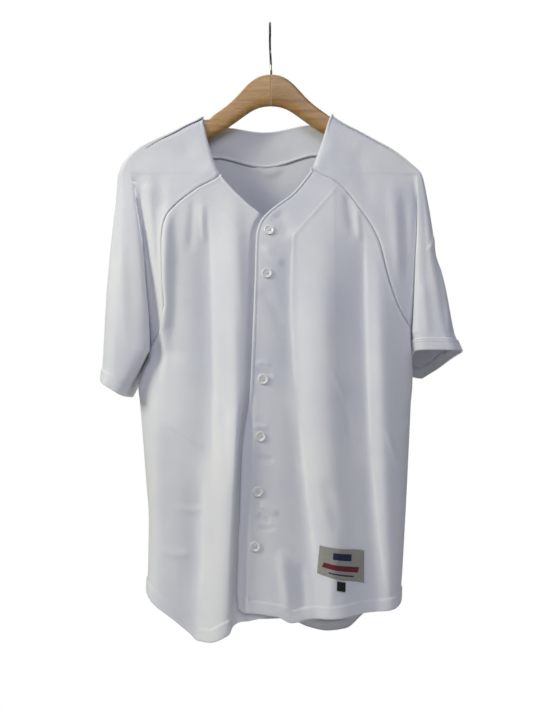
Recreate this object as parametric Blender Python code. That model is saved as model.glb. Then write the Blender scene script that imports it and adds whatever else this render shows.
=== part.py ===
"""Baseball jersey on a wooden hanger, hanging by the hook.

Cloth panels are thin closed walls on sections worked out from the height: half depth front and back,
edge of shoulder and sleeve, side or pleat, seam lines and folds.  Sizes are in millimetres and turned
to metres when a mesh is made.  +X is the wearer's left, -Y the front, +Z up, the hook's inner crown at 0.
"""
import bpy
import math
import numpy as np

# driving sizes, mm
CENTRE_X = -6.8
CLOTH = 1.6
HEM_WALL = 2.4
HEM_BAND = 18.0
SEAM_GAP = 0.3
SLEEVE_POWER = 4.0
PLEAT_LEAN = {"right": 9.0, "left": 5.0}
RIDGE_RADIUS = 10.4
SLEEVE_EDGE_RADIUS = 27.0
HANGER_HALF_THICK = 8.0
HOOK_WIRE = 3.5
FLANK_CELLS = 4
UNDERLAP = 4.6
HOOK_INNER = 20.0
BUTTON_DIAMETER = 15.0
BUTTON_THICK = 2.6
BUTTON_HOLE = 2.0
FACING_DROP = 56.0


def table(names, rows):
    """Named columns from rows of numbers."""
    block = np.array(rows, float)
    return {name: block[:, i] for i, name in enumerate(names.split())}


def along(columns, key, name, at):
    """Smooth curve through a table's column: cubic pieces with slopes kept free of overshoot."""
    order = np.argsort(columns[key])
    x, y = columns[key][order], columns[name][order]
    h, d = np.diff(x), np.diff(y) / np.diff(x)
    m = np.concatenate([d[:1], np.where(d[:-1] * d[1:] > 0, 2 * d[:-1] * d[1:] / (d[:-1] + d[1:] + 1e-12), 0.0), d[-1:]])
    q = np.clip(np.asarray(at, float), x[0], x[-1])
    i = np.clip(np.searchsorted(x, q) - 1, 0, len(h) - 1)
    t = (q - x[i]) / h[i]
    return ((2 * t**3 - 3 * t**2 + 1) * y[i] + (t**3 - 2 * t**2 + t) * h[i] * m[i]
            + (3 * t**2 - 2 * t**3) * y[i + 1] + (t**3 - t**2) * h[i] * m[i + 1])


# outline of the shoulders and of the sleeves' outer edges by height, wearer's right and left
EDGE = table("z right left", [
    (-143.3, -96.0, 93.7),
    (-147.1, -104.4, 99.5),
    (-157.9, -129.5, 116.0),
    (-170.1, -153.4, 140.0),
    (-184.6, -186.8, 166.0),
    (-199.1, -213.1, 192.0),
    (-218.2, -231.0, 217.0),
    (-237.6, -238.6, 235.5),
    (-271.2, -240.8, 243.0),
    (-319.4, -245.8, 250.5),
    (-367.1, -250.4, 256.5),
    (-427.2, -254.6, 271.0),
    (-478.5, -256.6, 281.5),
    (-512.0, -258.0, 289.0)])

# side of the body, and above the armpits the foot of the pleat between body and sleeve
SIDE = table("z right left round_right round_left", [
    (-237.9, -216.0, 226.0, 4.0, 4.5),
    (-275.6, -206.0, 226.0, 3.6, 4.5),
    (-330.4, -198.5, 225.0, 3.2, 4.5),
    (-369.5, -195.0, 223.0, 2.9, 4.5),
    (-416.3, -191.5, 220.5, 2.7, 4.5),
    (-463.0, -189.0, 217.5, 2.5, 4.3),
    (-486.0, -188.0, 216.0, 2.5, 4.2),
    (-512.0, -187.5, 216.0, 2.5, 4.0),
    (-540.0, -199.0, 217.0, 2.6, 4.0),
    (-565.0, -204.5, 216.5, 2.7, 4.0),
    (-590.0, -201.5, 214.0, 2.9, 4.0),
    (-634.9, -197.0, 211.5, 3.2, 4.0),
    (-705.8, -190.5, 207.5, 3.5, 4.0),
    (-770.3, -185.5, 203.5, 3.5, 4.0),
    (-835.4, -186.5, 199.0, 3.5, 4.0),
    (-890.0, -188.0, 194.5, 3.5, 4.0),
    (-965.0, -188.0, 192.0, 3.5, 4.0)])

# how much of the depth is left at the foot of the pleat
PLEAT = table("z right left", [
    (-143.0, 1.0, 1.0),
    (-240.0, 1.0, 0.96),
    (-276.0, 0.86, 0.70),
    (-330.0, 0.66, 0.40),
    (-400.0, 0.40, 0.18),
    (-460.0, 0.18, 0.05),
    (-486.0, 0.08, 0.0),
    (-512.0, 0.0, 0.0)])

# half depth front and back by the drop below the shoulder line
DEPTH = table("drop front back", [
    (0.0, 10.4, 10.4),
    (20.0, 12.0, 12.0),
    (90.0, 24.0, 22.0),
    (200.0, 43.0, 40.0),
    (350.0, 58.0, 55.0),
    (550.0, 68.0, 68.0),
    (820.0, 74.0, 76.0)])

# raglan seams, front and back, from the neck to the armpit as the distance sideways by height
SEAM_RIGHT = table("z front back", [
    (-157.0, -78.5, -78.5),
    (-240.5, -78.5, -112.0),
    (-263.0, -112.5, -122.0),
    (-288.0, -144.5, -132.0),
    (-306.0, -158.5, -139.0),
    (-325.0, -164.0, -146.0),
    (-343.0, -165.5, -151.0),
    (-373.0, -164.0, -157.0),
    (-408.0, -162.0, -162.0),
    (-443.0, -159.0, -165.0),
    (-465.0, -163.5, -169.0),
    (-481.0, -169.0, -174.0),
    (-495.0, -177.0, -179.0),
    (-505.0, -184.0, -184.5),
    (-512.0, -187.5, -187.5)])
SEAM_LEFT = table("z front back", [
    (-153.0, 64.0, 64.0),
    (-230.0, 64.0, 98.0),
    (-255.0, 102.5, 112.0),
    (-268.0, 116.5, 118.0),
    (-294.0, 135.0, 130.0),
    (-322.0, 153.5, 141.0),
    (-352.0, 166.0, 151.0),
    (-378.0, 171.5, 159.0),
    (-411.0, 179.5, 168.0),
    (-443.0, 191.0, 185.0),
    (-458.0, 199.0, 196.0),
    (-470.0, 207.0, 206.0),
    (-479.0, 213.5, 213.0),
    (-486.0, 216.0, 216.0)])

# neck edge of the sleeves' front and of the two fronts, and the front edges below
NECK_RIGHT = table("z edge", [
    (-148.0, -104.3),
    (-155.0, -104.6),
    (-171.0, -101.0),
    (-185.0, -97.6),
    (-205.0, -92.0),
    (-233.0, -82.0),
    (-240.5, -77.5),
    (-264.0, -58.8),
    (-283.0, -40.0),
    (-304.5, -15.7),
    (-320.0, 3.0),
    (-332.0, 10.0),
    (-352.0, 12.0),
    (-960.0, -8.0)])
NECK_LEFT = table("z edge", [
    (-144.0, 93.4),
    (-153.0, 89.3),
    (-169.0, 84.5),
    (-188.0, 78.6),
    (-212.0, 70.3),
    (-230.0, 63.4),
    (-251.5, 49.5),
    (-273.0, 30.8),
    (-289.0, 9.8),
    (-305.5, -8.8),
    (-319.5, -18.0),
    (-338.0, -22.6),
    (-371.0, -23.8),
    (-413.0, -25.0),
    (-560.0, -30.5),
    (-700.0, -37.0),
    (-800.0, -42.0),
    (-960.0, -46.0)])

# hem of each panel by the distance sideways
HEM_RIGHT = table("x z", [
    (-190.0, -871.0),
    (-180.0, -879.0),
    (-166.0, -890.0),
    (-144.0, -907.0),
    (-122.0, -925.0),
    (-107.0, -936.0),
    (-88.0, -934.0),
    (-62.0, -922.0),
    (-36.0, -908.0),
    (14.0, -899.0)])
HEM_LEFT = table("x z", [
    (-46.0, -884.0),
    (-40.0, -893.0),
    (-22.0, -895.0),
    (9.0, -900.0),
    (30.0, -909.0),
    (58.0, -904.0),
    (97.0, -901.0),
    (131.0, -897.0),
    (160.0, -896.0),
    (178.0, -893.0),
    (196.0, -884.0)])
HEM_BACK = table("x z", [
    (-190.0, -871.0),
    (-172.0, -900.0),
    (-150.0, -925.0),
    (-110.0, -942.0),
    (-66.0, -939.0),
    (-24.0, -942.0),
    (24.0, -945.0),
    (62.0, -958.0),
    (94.0, -961.0),
    (122.0, -959.0),
    (148.0, -936.0),
    (174.0, -908.0),
    (196.0, -886.0)])

# folds: line through three distances sideways, ends by height, half widths each side, rise (+) or fall (-)
FRONT_FOLDS = table("top middle bottom z_top z_bottom wide_low wide_high rise", [
    (-157.0, -160.0, -158.0, -270.0, -520.0, 10.0, 10.0, 5.5),
    (-98.0, -90.0, -92.0, -262.0, -740.0, 36.0, 18.0, -8.0),
    (-62.0, -46.0, -54.0, -250.0, -760.0, 20.0, 15.0, 8.0),
    (-50.0, -66.0, -92.0, -560.0, -1200.0, 26.0, 22.0, 17.0),
    (-114.0, -112.0, -120.0, -640.0, -1100.0, 30.0, 18.0, -8.0),
    (-168.0, -170.0, -168.0, -560.0, -1000.0, 14.0, 16.0, 4.0),
    (32.0, 44.0, 92.0, -290.0, -1100.0, 30.0, 15.0, -6.0),
    (78.0, 84.0, 118.0, -280.0, -1100.0, 28.0, 24.0, 8.0),
    (140.0, 143.0, 180.0, -262.0, -1150.0, 34.0, 15.0, -6.5),
    (164.0, 168.0, 196.0, -310.0, -1150.0, 12.0, 20.0, 5.0)])
BACK_FOLDS = table("top middle bottom z_top z_bottom wide_low wide_high rise", [
    (-150.0, -152.0, -156.0, -260.0, -1150.0, 18.0, 22.0, 8.0),
    (-104.0, -108.0, -114.0, -240.0, -1150.0, 22.0, 22.0, -9.0),
    (-58.0, -64.0, -70.0, -230.0, -1150.0, 20.0, 20.0, 9.0),
    (-14.0, -16.0, -20.0, -300.0, -1150.0, 24.0, 24.0, -8.0),
    (34.0, 38.0, 36.0, -260.0, -1150.0, 20.0, 22.0, 8.0),
    (82.0, 86.0, 92.0, -240.0, -1150.0, 20.0, 24.0, -9.0),
    (136.0, 142.0, 150.0, -260.0, -1150.0, 22.0, 20.0, 9.0)])

# sleeves below the armpit, right and left: inner and outer line at the hem, and how far the back hangs lower
CUFF = table("inner_x inner_z outer_x outer_z back_lower", [
    (-220.0, -581.0, -260.5, -556.0, 4.0),
    (217.5, -511.0, 294.0, -512.0, 46.0)])

# wooden hanger by the distance from its middle: top edge shown and lower edge
HANGER = table("x top low", [
    (0.0, -78.0, -127.0),
    (19.0, -81.7, -130.0),
    (31.0, -90.0, -136.0),
    (40.0, -98.0, -142.0),
    (49.0, -109.5, -149.0),
    (60.0, -120.5, -156.5),
    (73.0, -131.5, -166.0),
    (88.0, -142.0, -174.0),
    (99.0, -149.5, -179.5)])
HANGER_HALF = 222.0
HANGER_TALL = 29.0

# rows between the raglan seam's top and the armpit, and between the neck point and the seam's top
ARMHOLE_STEPS = (0.012, 0.06, 0.13, 0.21, 0.30, 0.41, 0.52, 0.63, 0.73, 0.81, 0.88, 0.94, 0.98, 1.0)
SHOULDER_STEPS = (0.02, 0.06, 0.11, 0.20, 0.33, 0.50, 0.68, 0.86)
BODY_STEPS = (0.08, 0.17, 0.27, 0.37, 0.47, 0.57, 0.67, 0.77, 0.87)
CUFF_STEPS = (0.35, 0.68)
BUTTON_HEIGHTS = (-330.0, -396.0, -555.0, -639.0, -719.0, -798.0)
BUTTON_INSET = 18.5

SIDES = {"right": dict(sign=-1.0, neck_z=-147.6, seam_z=-240.5, back_z=-157.0, armpit=-512.0, seam=SEAM_RIGHT,
                       neck=NECK_RIGHT, hem=HEM_RIGHT, cuff=0),
         "left": dict(sign=1.0, neck_z=-143.8, seam_z=-230.0, back_z=-153.0, armpit=-486.0, seam=SEAM_LEFT,
                      neck=NECK_LEFT, hem=HEM_LEFT, cuff=1)}


def ease(t):
    """Smooth step from 0 to 1."""
    t = np.clip(t, 0.0, 1.0)
    return t * t * (3 - 2 * t)


def ridge(x):
    """Height of the shoulder line over a point."""
    top = EDGE["z"] > -245.0
    xs = np.concatenate([EDGE["right"][top][1:][::-1], EDGE["left"][top]])
    zs = np.concatenate([EDGE["z"][top][1:][::-1], EDGE["z"][top]])
    return np.interp(x, xs, zs)


def plateau(face, x, z):
    """Half depth of the garment over a point, by its drop below the shoulder line."""
    deep = along(DEPTH, "drop", face, np.maximum(ridge(x) - z, 0.0))
    if face == "back":
        deep = deep + 13.0 * np.exp(-((x - CENTRE_X) / 62.0) ** 2) * np.exp(-(((z + 160.0) / 90.0) ** 2))
    return deep


def folds(face, x, z):
    """Sum of the folds: bell curves across lines that bend through three points, faded at their ends."""
    rows = FRONT_FOLDS if face == "front" else BACK_FOLDS
    total = np.zeros(np.broadcast(x, z).shape)
    for top, middle, bottom, z_top, z_bottom, low, high, rise in zip(*rows.values()):
        t = (z_top - z) / (z_top - z_bottom)
        line = top * (1 - t) * (1 - 2 * t) + 4 * middle * t * (1 - t) + bottom * t * (2 * t - 1)
        off = x - line
        bell = np.exp(-((off / np.where(off < 0, low, high)) ** 2))
        total = total + rise * bell * ease(t / 0.25) * ease((1 - t) / 0.25)
    return total


def push(face, x, y, z, amount):
    """Moves a section's points outward along its own direction by the amount."""
    out = -1.0 if face == "front" else 1.0
    dx, dy = np.gradient(x), np.gradient(y)
    size = np.hypot(dx, dy) + 1e-9
    nx, ny = dy / size, -dx / size
    flip = np.sign(ny * out) + (ny == 0)
    return x + nx * flip * amount, y + ny * flip * amount


def body_half(side, face, z, count=260):
    """Body section from its side, or the pleat's foot, to the middle: a flattened oval with folds.
    z is one height or a function of the distance sideways."""
    s = SIDES[side]["sign"]
    out = -1.0 if face == "front" else 1.0
    a = np.linspace(0.0, np.pi / 2, count)
    level = z if callable(z) else (lambda q: np.full(count, float(z)))
    zz = level(np.full(count, CENTRE_X + 200.0 * s))
    for _ in range(2):
        foot = along(SIDE, "z", side, zz)
        power = 2 / along(SIDE, "z", "round_" + side, zz)
        across, deep = np.cos(a) ** power, np.sin(a) ** power
        x = CENTRE_X + (foot - CENTRE_X) * across
        zz = level(x)
    floor = along(PLEAT, "z", side, zz) * plateau(face, foot, zz)
    y = out * (floor + (plateau(face, x, zz) - floor) * deep)
    px, py = push(face, x, y, zz, folds(face, x, zz) * ease(deep * 1.4))
    return x, np.column_stack([px, py, zz])


def neck_or_seam(side, face, z):
    """Distance sideways of the sleeve's first edge: raglan seam, and above its top the neck edge."""
    s = SIDES[side]
    top = s["seam_z"] if face == "front" else s["back_z"]
    if z <= top:
        return float(along(s["seam"], "z", face, z))
    if face == "front":
        return float(along(s["neck"], "z", "edge", z))
    t = (z - top) / (s["neck_z"] + 0.2 - top)
    return float(s["seam"]["back"][0] * (1 - t) + s["neck"]["edge"][0] * t)


def sleeve_half(side, face, z, foot=None, rim=None, lean=None):
    """Sleeve section from its first edge over the pleat to the outer edge, in three runs of points."""
    s = SIDES[side]["sign"]
    out = -1.0 if face == "front" else 1.0
    edge = float(along(EDGE, "z", side, z)) if rim is None else rim
    first = None
    if foot is None:
        first = neck_or_seam(side, face, z)
        foot = float(along(SIDE, "z", side, z)) if z < -238.0 else first + 0.86 * (edge - first)
        foot = s * min(s * foot, s * edge - 6.0) if s * edge - s * first > 16 else first + 0.6 * (edge - first)
    runs = []
    floor = float(along(PLEAT, "z", side, z)) * plateau(face, foot, z)
    if first is not None:
        if z < -238.0:
            base, pts = body_half(side, face, z)
            keep = s * base > s * first
            near = np.array([np.interp(s * first, s * base[::-1], pts[::-1, k]) for k in range(3)])
            runs.append(np.vstack([near, pts[keep][::-1]]))
        else:
            x = np.linspace(first, foot, 40)
            y = out * plateau(face, x, z)
            e = np.abs(x - edge) * slope(side, z)
            y = y * np.sqrt(np.clip(1 - (1 - np.minimum(e / RIDGE_RADIUS, 1.0)) ** 2, 0.0, 1.0))
            px, py = push(face, x, y, z, folds(face, x, np.full(40, z)))
            runs.append(np.column_stack([px, py, np.full(40, z)]))
    mid = 0.5 * (foot + edge)
    a = np.linspace(0.0, np.pi / 2, 80)
    x = mid + (foot - mid) * np.cos(a) ** (2 / SLEEVE_POWER)
    rise = np.sin(a) ** (2 / SLEEVE_POWER)
    lean = PLEAT_LEAN[side] * float(ease((-240.0 - z) / 160.0)) * (1.0 if lean is None else lean)
    x = x - s * lean * np.sin(2 * a)
    y = out * (floor + (plateau(face, x, z) - floor) * rise)
    e = np.abs(x - edge) * slope(side, z)
    radius = min(RIDGE_RADIUS + (SLEEVE_EDGE_RADIUS - RIDGE_RADIUS) * float(ease((-215.0 - z) / 120.0)),
                 0.97 * abs(edge - mid) * slope(side, z))
    radius = max(radius, 1.0)
    round_off = np.sqrt(np.clip(1 - (1 - np.minimum(e / radius, 1.0)) ** 2, 0.0, 1.0))
    runs.append(np.column_stack([x, y * round_off, np.full(80, z)]))
    b = np.linspace(0.0, np.pi / 2, 60)
    flat = np.linspace(mid, edge - s * radius / slope(side, z), 30)[:-1]
    xx = np.concatenate([flat, edge - s * radius * (1 - np.sin(b)) / slope(side, z)])
    gg = np.concatenate([np.ones(len(flat)), np.cos(b)])
    runs.append(np.column_stack([xx, out * plateau(face, xx, z) * gg, np.full(len(xx), z)]))
    return runs


def slope(side, z):
    """Sine of the outline's steepness, from flat shoulder to upright sleeve edge."""
    d = float(along(EDGE, "z", side, z - 3.0) - along(EDGE, "z", side, z + 3.0)) / 6.0
    return 1.0 / math.sqrt(1.0 + d * d)


def spread(points, count, start=0.0, stop=0.0, lines=(None, None)):
    """Count + 1 points along a line of points, each with the line's direction there.
    With a line at either end, the run beyond it gets its own few points, and the run between is even sideways."""
    step = np.linalg.norm(np.diff(points, axis=0), axis=1)
    keep = np.concatenate([[True], step > 1e-7])
    points = points[keep]
    s = np.concatenate([[0.0], np.cumsum(step[step > 1e-7])])
    a, b = start, s[-1] - stop
    if lines[0] is None and lines[1] is None:
        q = np.linspace(a, b, count + 1)
    else:
        way = 1.0 if points[-1, 0] > points[0, 0] else -1.0
        x = way * points[:, 0]
        half = len(x) // 2
        x = np.concatenate([np.minimum.accumulate(x[:half][::-1])[::-1], np.maximum.accumulate(x[half:])])
        x = x + np.arange(len(x)) * 1e-9
        ends = []
        for line, q in ((lines[0], a), (lines[1], b)):
            ends.append(q if line is None else float(np.clip(np.interp(way * line, x, s), a, b)))
        n0 = FLANK_CELLS if lines[0] is not None else 0
        n1 = (FLANK_CELLS if lines[2] else 2) if lines[1] is not None else 0
        x0, x1 = np.interp(ends[0], s, x), np.interp(ends[1], s, x)
        between = np.interp(np.linspace(x0, x1, count - n0 - n1 + 1), x, s)
        between[0], between[-1] = ends
        q = np.concatenate([np.linspace(a, ends[0], n0 + 1)[:-1], between, np.linspace(ends[1], b, n1 + 1)[1:]])
    direction = np.gradient(points, s, axis=0)
    direction /= np.linalg.norm(direction, axis=1, keepdims=True) + 1e-12
    both = np.hstack([points, direction])
    return np.column_stack([np.interp(q, s, both[:, k]) for k in range(6)])


def cut(base, points, x_from, x_to):
    """Part of a section between two distances sideways."""
    order = np.argsort(base, kind="stable")
    b, p = base[order], points[order]
    ends = [np.array([np.interp(x, b, p[:, k]) for k in range(3)]) for x in (x_from, x_to)]
    lo, hi = sorted((x_from, x_to))
    inside = p[(b > lo + 1e-6) & (b < hi - 1e-6)]
    if x_from > x_to:
        inside = inside[::-1]
    return np.vstack([ends[0], inside, ends[1]])


def levels(side):
    """Heights of the rows from the neck point to the armpit, shared by a sleeve and the panels beside it."""
    s = SIDES[side]
    up = [s["neck_z"] + (s["seam_z"] - s["neck_z"]) * t for t in SHOULDER_STEPS]
    down = [s["seam_z"] + (s["armpit"] - s["seam_z"]) * t for t in ARMHOLE_STEPS]
    return up, down


def face_line(side, z, first, last):
    """Where a body panel's face begins beside its seam or flank: steady below, a share of the width above."""
    far = 157.0 if side == "right" else 182.0
    steady = SIDES[side]["sign"] * far
    share = first + 0.26 * (last - first)
    t = float(ease((-330.0 - z) / 130.0))
    return share + (steady - share) * t


def front_grid(side, columns):
    """Rows of one front from its top to the hem, from the seam to the front edge."""
    s = SIDES[side]
    arm = s["armpit"]
    band = [1.0 - HEM_BAND / 390.0, 1.0 - (HEM_BAND - 1.2) / 390.0, 1.0]
    jobs = [(z, z, float(along(s["seam"], "z", "front", z))) for z in levels(side)[1]]
    for v in list(BODY_STEPS) + band:
        jobs.append(((lambda x, v=v: arm + (along(s["hem"], "x", "z", x) - arm) * v), arm + (-900.0 - arm) * v, None))
    rows = []
    for level, z, first in jobs:
        line, last = front_edge(side, level, first, z)
        begin = face_line(side, z, line[0, 0], last)
        inner = None
        if side == "right":
            inner = min(float(along(NECK_LEFT, "z", "edge", z)) - 1.5, last - 3.0)
            begin = min(begin, inner - 0.4 * abs(inner - line[0, 0]))
        rows.append(spread(line, columns, SEAM_GAP * 0.7, 0.0, (begin, inner, False)))
    grid = np.array(rows)
    if side == "right":
        edge = along(NECK_LEFT, "z", "edge", grid[..., 2])
        grid[..., 1] += UNDERLAP * ease((grid[..., 0] - edge + 10.0) / 8.0) * (grid[..., 2] < -292.0)
    return grid


def front_edge(side, level, first, z):
    """Section of a front between its seam or side and its neck or front edge, and where that edge is."""
    base, pts = whole("front", level)
    last = float(along(SIDES[side]["neck"], "z", "edge", z))
    if first is not None and abs(last - first) < 5.0:
        last = first - 5.0 * SIDES[side]["sign"]
    start = base[0 if side == "right" else -1] if first is None else first
    return cut(base, pts, start, last), last


def back_grid(columns):
    """Rows of the back from the neck to the hem, from the wearer's right to the left."""
    r, l = SIDES["right"], SIDES["left"]
    rows = []
    zr = [z for part in levels("right") for z in part]
    zl = [z for part in levels("left") for z in part]
    pairs = [(a, b) for a, b in zip(zr, zl) if a < r["back_z"] + 0.5]
    pairs[0] = (r["back_z"], l["back_z"])
    for j, (a, b) in enumerate(pairs):
        xa, xb = float(along(SEAM_RIGHT, "z", "back", a)), float(along(SEAM_LEFT, "z", "back", b))
        dip = 7.0 * (1 - ease(j / 5.0))

        def level(x, a=a, b=b, xa=xa, xb=xb, dip=dip):
            t = np.clip((x - xa) / (xb - xa), 0.0, 1.0)
            return a + (b - a) * t - dip * np.sin(np.pi * t) ** 2

        rows.append(back_row(whole_back(level, xa, xb), columns, a))
    band = [1.0 - HEM_BAND / 420.0, 1.0 - (HEM_BAND - 1.2) / 420.0, 1.0]
    for v in list(BODY_STEPS) + band:

        def level(x, v=v):
            t = np.clip((x + 187.5) / (216.0 + 187.5), 0.0, 1.0)
            arm = r["armpit"] + (l["armpit"] - r["armpit"]) * t
            return arm + (along(HEM_BACK, "x", "z", x) - arm) * v

        rows.append(back_row(whole_back(level, None, None), columns, -700.0))
    return np.array(rows)


def back_row(line, columns, z):
    """Points of one row of the back, its flanks apart."""
    a, b = line[0, 0], line[-1, 0]
    lines = (face_line("right", z, a, 0.5 * (a + b)), face_line("left", z, b, 0.5 * (a + b)), True)
    return spread(line, columns, SEAM_GAP * 0.7, SEAM_GAP * 0.7, lines)


def whole(face, level):
    """Body section from the right side over the middle to the left."""
    base_r, right = body_half("right", face, level)
    base_l, left = body_half("left", face, level)
    return np.concatenate([base_r, base_l[::-1][1:]]), np.vstack([right, left[::-1][1:]])


def whole_back(level, xa, xb):
    """Back section from the right seam or side to the left one."""
    base, pts = whole("back", level)
    return cut(base, pts, base[0] if xa is None else xa, base[-1] if xb is None else xb)


def sleeve_grid(side, cells):
    """Rows of a sleeve from the neck to the cuff, around from the front seam over the outer edge to the back."""
    s = SIDES[side]
    sign = s["sign"]
    up, down = levels(side)
    rows = []
    for z in up + down[:-1]:
        halves = []
        for face in ("front", "back"):
            runs = sleeve_half(side, face, z)
            parts = [spread(runs[0], cells[0], SEAM_GAP * 0.7)]
            parts += [spread(run, n)[1:] for run, n in zip(runs[1:], cells[1:])]
            halves.append(np.vstack(parts))
        rows.append(join_halves(halves))
    open_rows = len(rows)
    c = {name: column[s["cuff"]] for name, column in CUFF.items()}
    foot0 = float(along(SIDE, "z", side, s["armpit"])) + sign * 0.5
    rim0 = float(along(EDGE, "z", side, s["armpit"]))
    tall = abs(c["outer_z"] - s["armpit"]) + 25.0
    for v in [0.0] + list(CUFF_STEPS) + [1.0 - HEM_BAND / tall, 1.0 - (HEM_BAND - 1.2) / tall, 1.0]:
        foot = foot0 + (c["inner_x"] - foot0) * v
        rim = rim0 + (c["outer_x"] - rim0) * v
        halves = []
        for face in ("front", "back"):
            runs = sleeve_half(side, face, s["armpit"] - 20.0 * v, foot, rim, 1.0 - v)
            first = np.vstack([runs[0][:1]] * 2)
            first[0, 1] = first[0, 1] * 0.0
            inner = spread(np.vstack([first, runs[0]]), cells[0] + cells[1])
            halves.append(np.vstack([inner, spread(runs[1], cells[2])[1:]]))
        row = join_halves(halves)
        m = np.clip((row[:, 0] - rim) / (foot - rim), 0.0, 1.0)
        line = s["armpit"] + ((c["outer_z"] + (c["inner_z"] - c["outer_z"]) * m) - s["armpit"]) * v
        reach = (1 + row[:, 1] / np.abs(row[:, 1]).max()) / 2
        row[:, 2] = line - v * c["back_lower"] * reach**2 * (0.25 + 0.75 * np.minimum(1.5 * m, 1.0))
        rows.append(row)
    return np.array(rows), open_rows


def join_halves(halves):
    """Front half and back half of a sleeve's row as one round, both running the same way."""
    back = halves[1][::-1].copy()
    back[:, 3:] *= -1.0
    row = np.vstack([halves[0], back[1:]])
    row[len(halves[0]) - 1, 3:] = (0.0, 1.0, 0.0)
    return row


def normals(grid):
    """Outward directions of a grid's points, from the direction along the row and the step between rows."""
    n = np.cross(grid[..., 3:], np.gradient(grid[..., :3], axis=0))
    return n / (np.linalg.norm(n, axis=2, keepdims=True) + 1e-12)


def mesh_object(name, verts, faces, slot, smooth=True):
    """Named object from millimetre points and faces, welded and turned outward."""
    points = np.asarray(verts, float)
    volume = sum(np.dot(points[f[0]], np.cross(points[f[k]], points[f[k + 1]])) for f in faces for k in range(1, len(f) - 1))
    if volume < 0:
        faces = [list(f)[::-1] for f in faces]
    mesh = bpy.data.meshes.new(name)
    mesh.from_pydata((points * 0.001).tolist(), [], faces)
    mesh.validate()
    obj = bpy.data.objects.new(name, mesh)
    bpy.context.scene.collection.objects.link(obj)
    mesh.materials.append(slot)
    for poly in mesh.polygons:
        poly.use_smooth = smooth
    return obj


def shell(name, grid, wall, slot, outward=1.0, closed_from=None, half=0):
    """Closed wall on a grid of outer points: inner points moved in by the wall, rims at the open edges.
    Rows from closed_from on run all round, so their first and last points are one.
    A half of -1 or 1 keeps the inner points on the front's or the back's side of the side seams."""
    rows, cols = grid.shape[:2]
    n = normals(grid) * outward
    if closed_from is not None:
        n[closed_from:, 0] = n[closed_from:, -1] = (-outward * 1.0, 0.0, 0.0)
    grid = grid[..., :3]
    inner = grid - n * np.broadcast_to(wall, (rows, cols))[..., None]
    if half:
        inner[..., 1] = half * np.maximum(half * inner[..., 1], SEAM_GAP * 0.6)
    index = np.arange(rows * cols).reshape(rows, cols)
    if closed_from is not None:
        index[closed_from:, -1] = index[closed_from:, 0]
        inner[closed_from:, -1] = inner[closed_from:, 0]
    total = rows * cols
    faces = []
    for r in range(rows - 1):
        for c in range(cols - 1):
            a, b, d, e = index[r, c], index[r, c + 1], index[r + 1, c + 1], index[r + 1, c]
            for three in ([a, b, d], [a, d, e]):
                faces.append(three if outward > 0 else three[::-1])
                faces.append([q + total for q in (three[::-1] if outward > 0 else three)])
    rim = []
    loop = [(index[0, c], index[0, c + 1]) for c in range(cols - 1)]
    last = rows - 1 if closed_from is None else closed_from
    loop += [(index[r, cols - 1], index[r + 1, cols - 1]) for r in range(last)]
    loop += [(index[rows - 1, c + 1], index[rows - 1, c]) for c in range(cols - 1)]
    loop += [(index[r + 1, 0], index[r, 0]) for r in range(last)]
    for a, b in loop:
        quad = [b, a, a + total, b + total]
        rim.append(quad if outward > 0 else quad[::-1])
    verts = np.vstack([grid.reshape(-1, 3), inner.reshape(-1, 3)])
    used = sorted({q for f in faces + rim for q in f})
    remap = {old: new for new, old in enumerate(used)}
    faces = [[remap[q] for q in f] for f in faces + rim]
    return mesh_object(name, verts[used], faces, slot)


def walls(rows, cols):
    """Wall by row: cloth, and the turned hem over the last two rows."""
    wall = np.full((rows, cols), CLOTH)
    wall[-2:] = HEM_WALL
    return wall


def at_grid(grid, i, j):
    """Point of a grid at fractional row i and column j."""
    grid = grid[..., :3]
    r, c = grid.shape[:2]
    i0 = np.clip(np.floor(i).astype(int), 0, r - 2)
    j0 = np.clip(np.floor(j).astype(int), 0, c - 2)
    fi, fj = (i - i0)[..., None], (j - j0)[..., None]
    return ((grid[i0, j0] * (1 - fi) + grid[i0 + 1, j0] * fi) * (1 - fj)
            + (grid[i0, j0 + 1] * (1 - fi) + grid[i0 + 1, j0 + 1] * fi) * fj)


def place(grid, x, z):
    """Fractional row and column of a grid whose point lies at a distance sideways and a height."""
    r, c = grid.shape[:2]
    best = np.argmin((grid[..., 0] - x) ** 2 + (grid[..., 2] - z) ** 2)
    i, j = float(best // c), float(best % c)
    for _ in range(12):
        p = at_grid(grid, np.array(i), np.array(j))
        di = (at_grid(grid, np.array(min(i + 0.05, r - 1.0)), np.array(j)) - at_grid(grid, np.array(i - 0.05), np.array(j))) / 0.1
        dj = (at_grid(grid, np.array(i), np.array(min(j + 0.05, c - 1.0))) - at_grid(grid, np.array(i), np.array(j - 0.05))) / 0.1
        jac = np.array([[di[0], dj[0]], [di[2], dj[2]]])
        step = np.linalg.solve(jac + 1e-9 * np.eye(2), np.array([x - p[0], z - p[2]]))
        i, j = float(np.clip(i + step[0], 0, r - 1)), float(np.clip(j + step[1], 0, c - 1))
    return i, j


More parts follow.
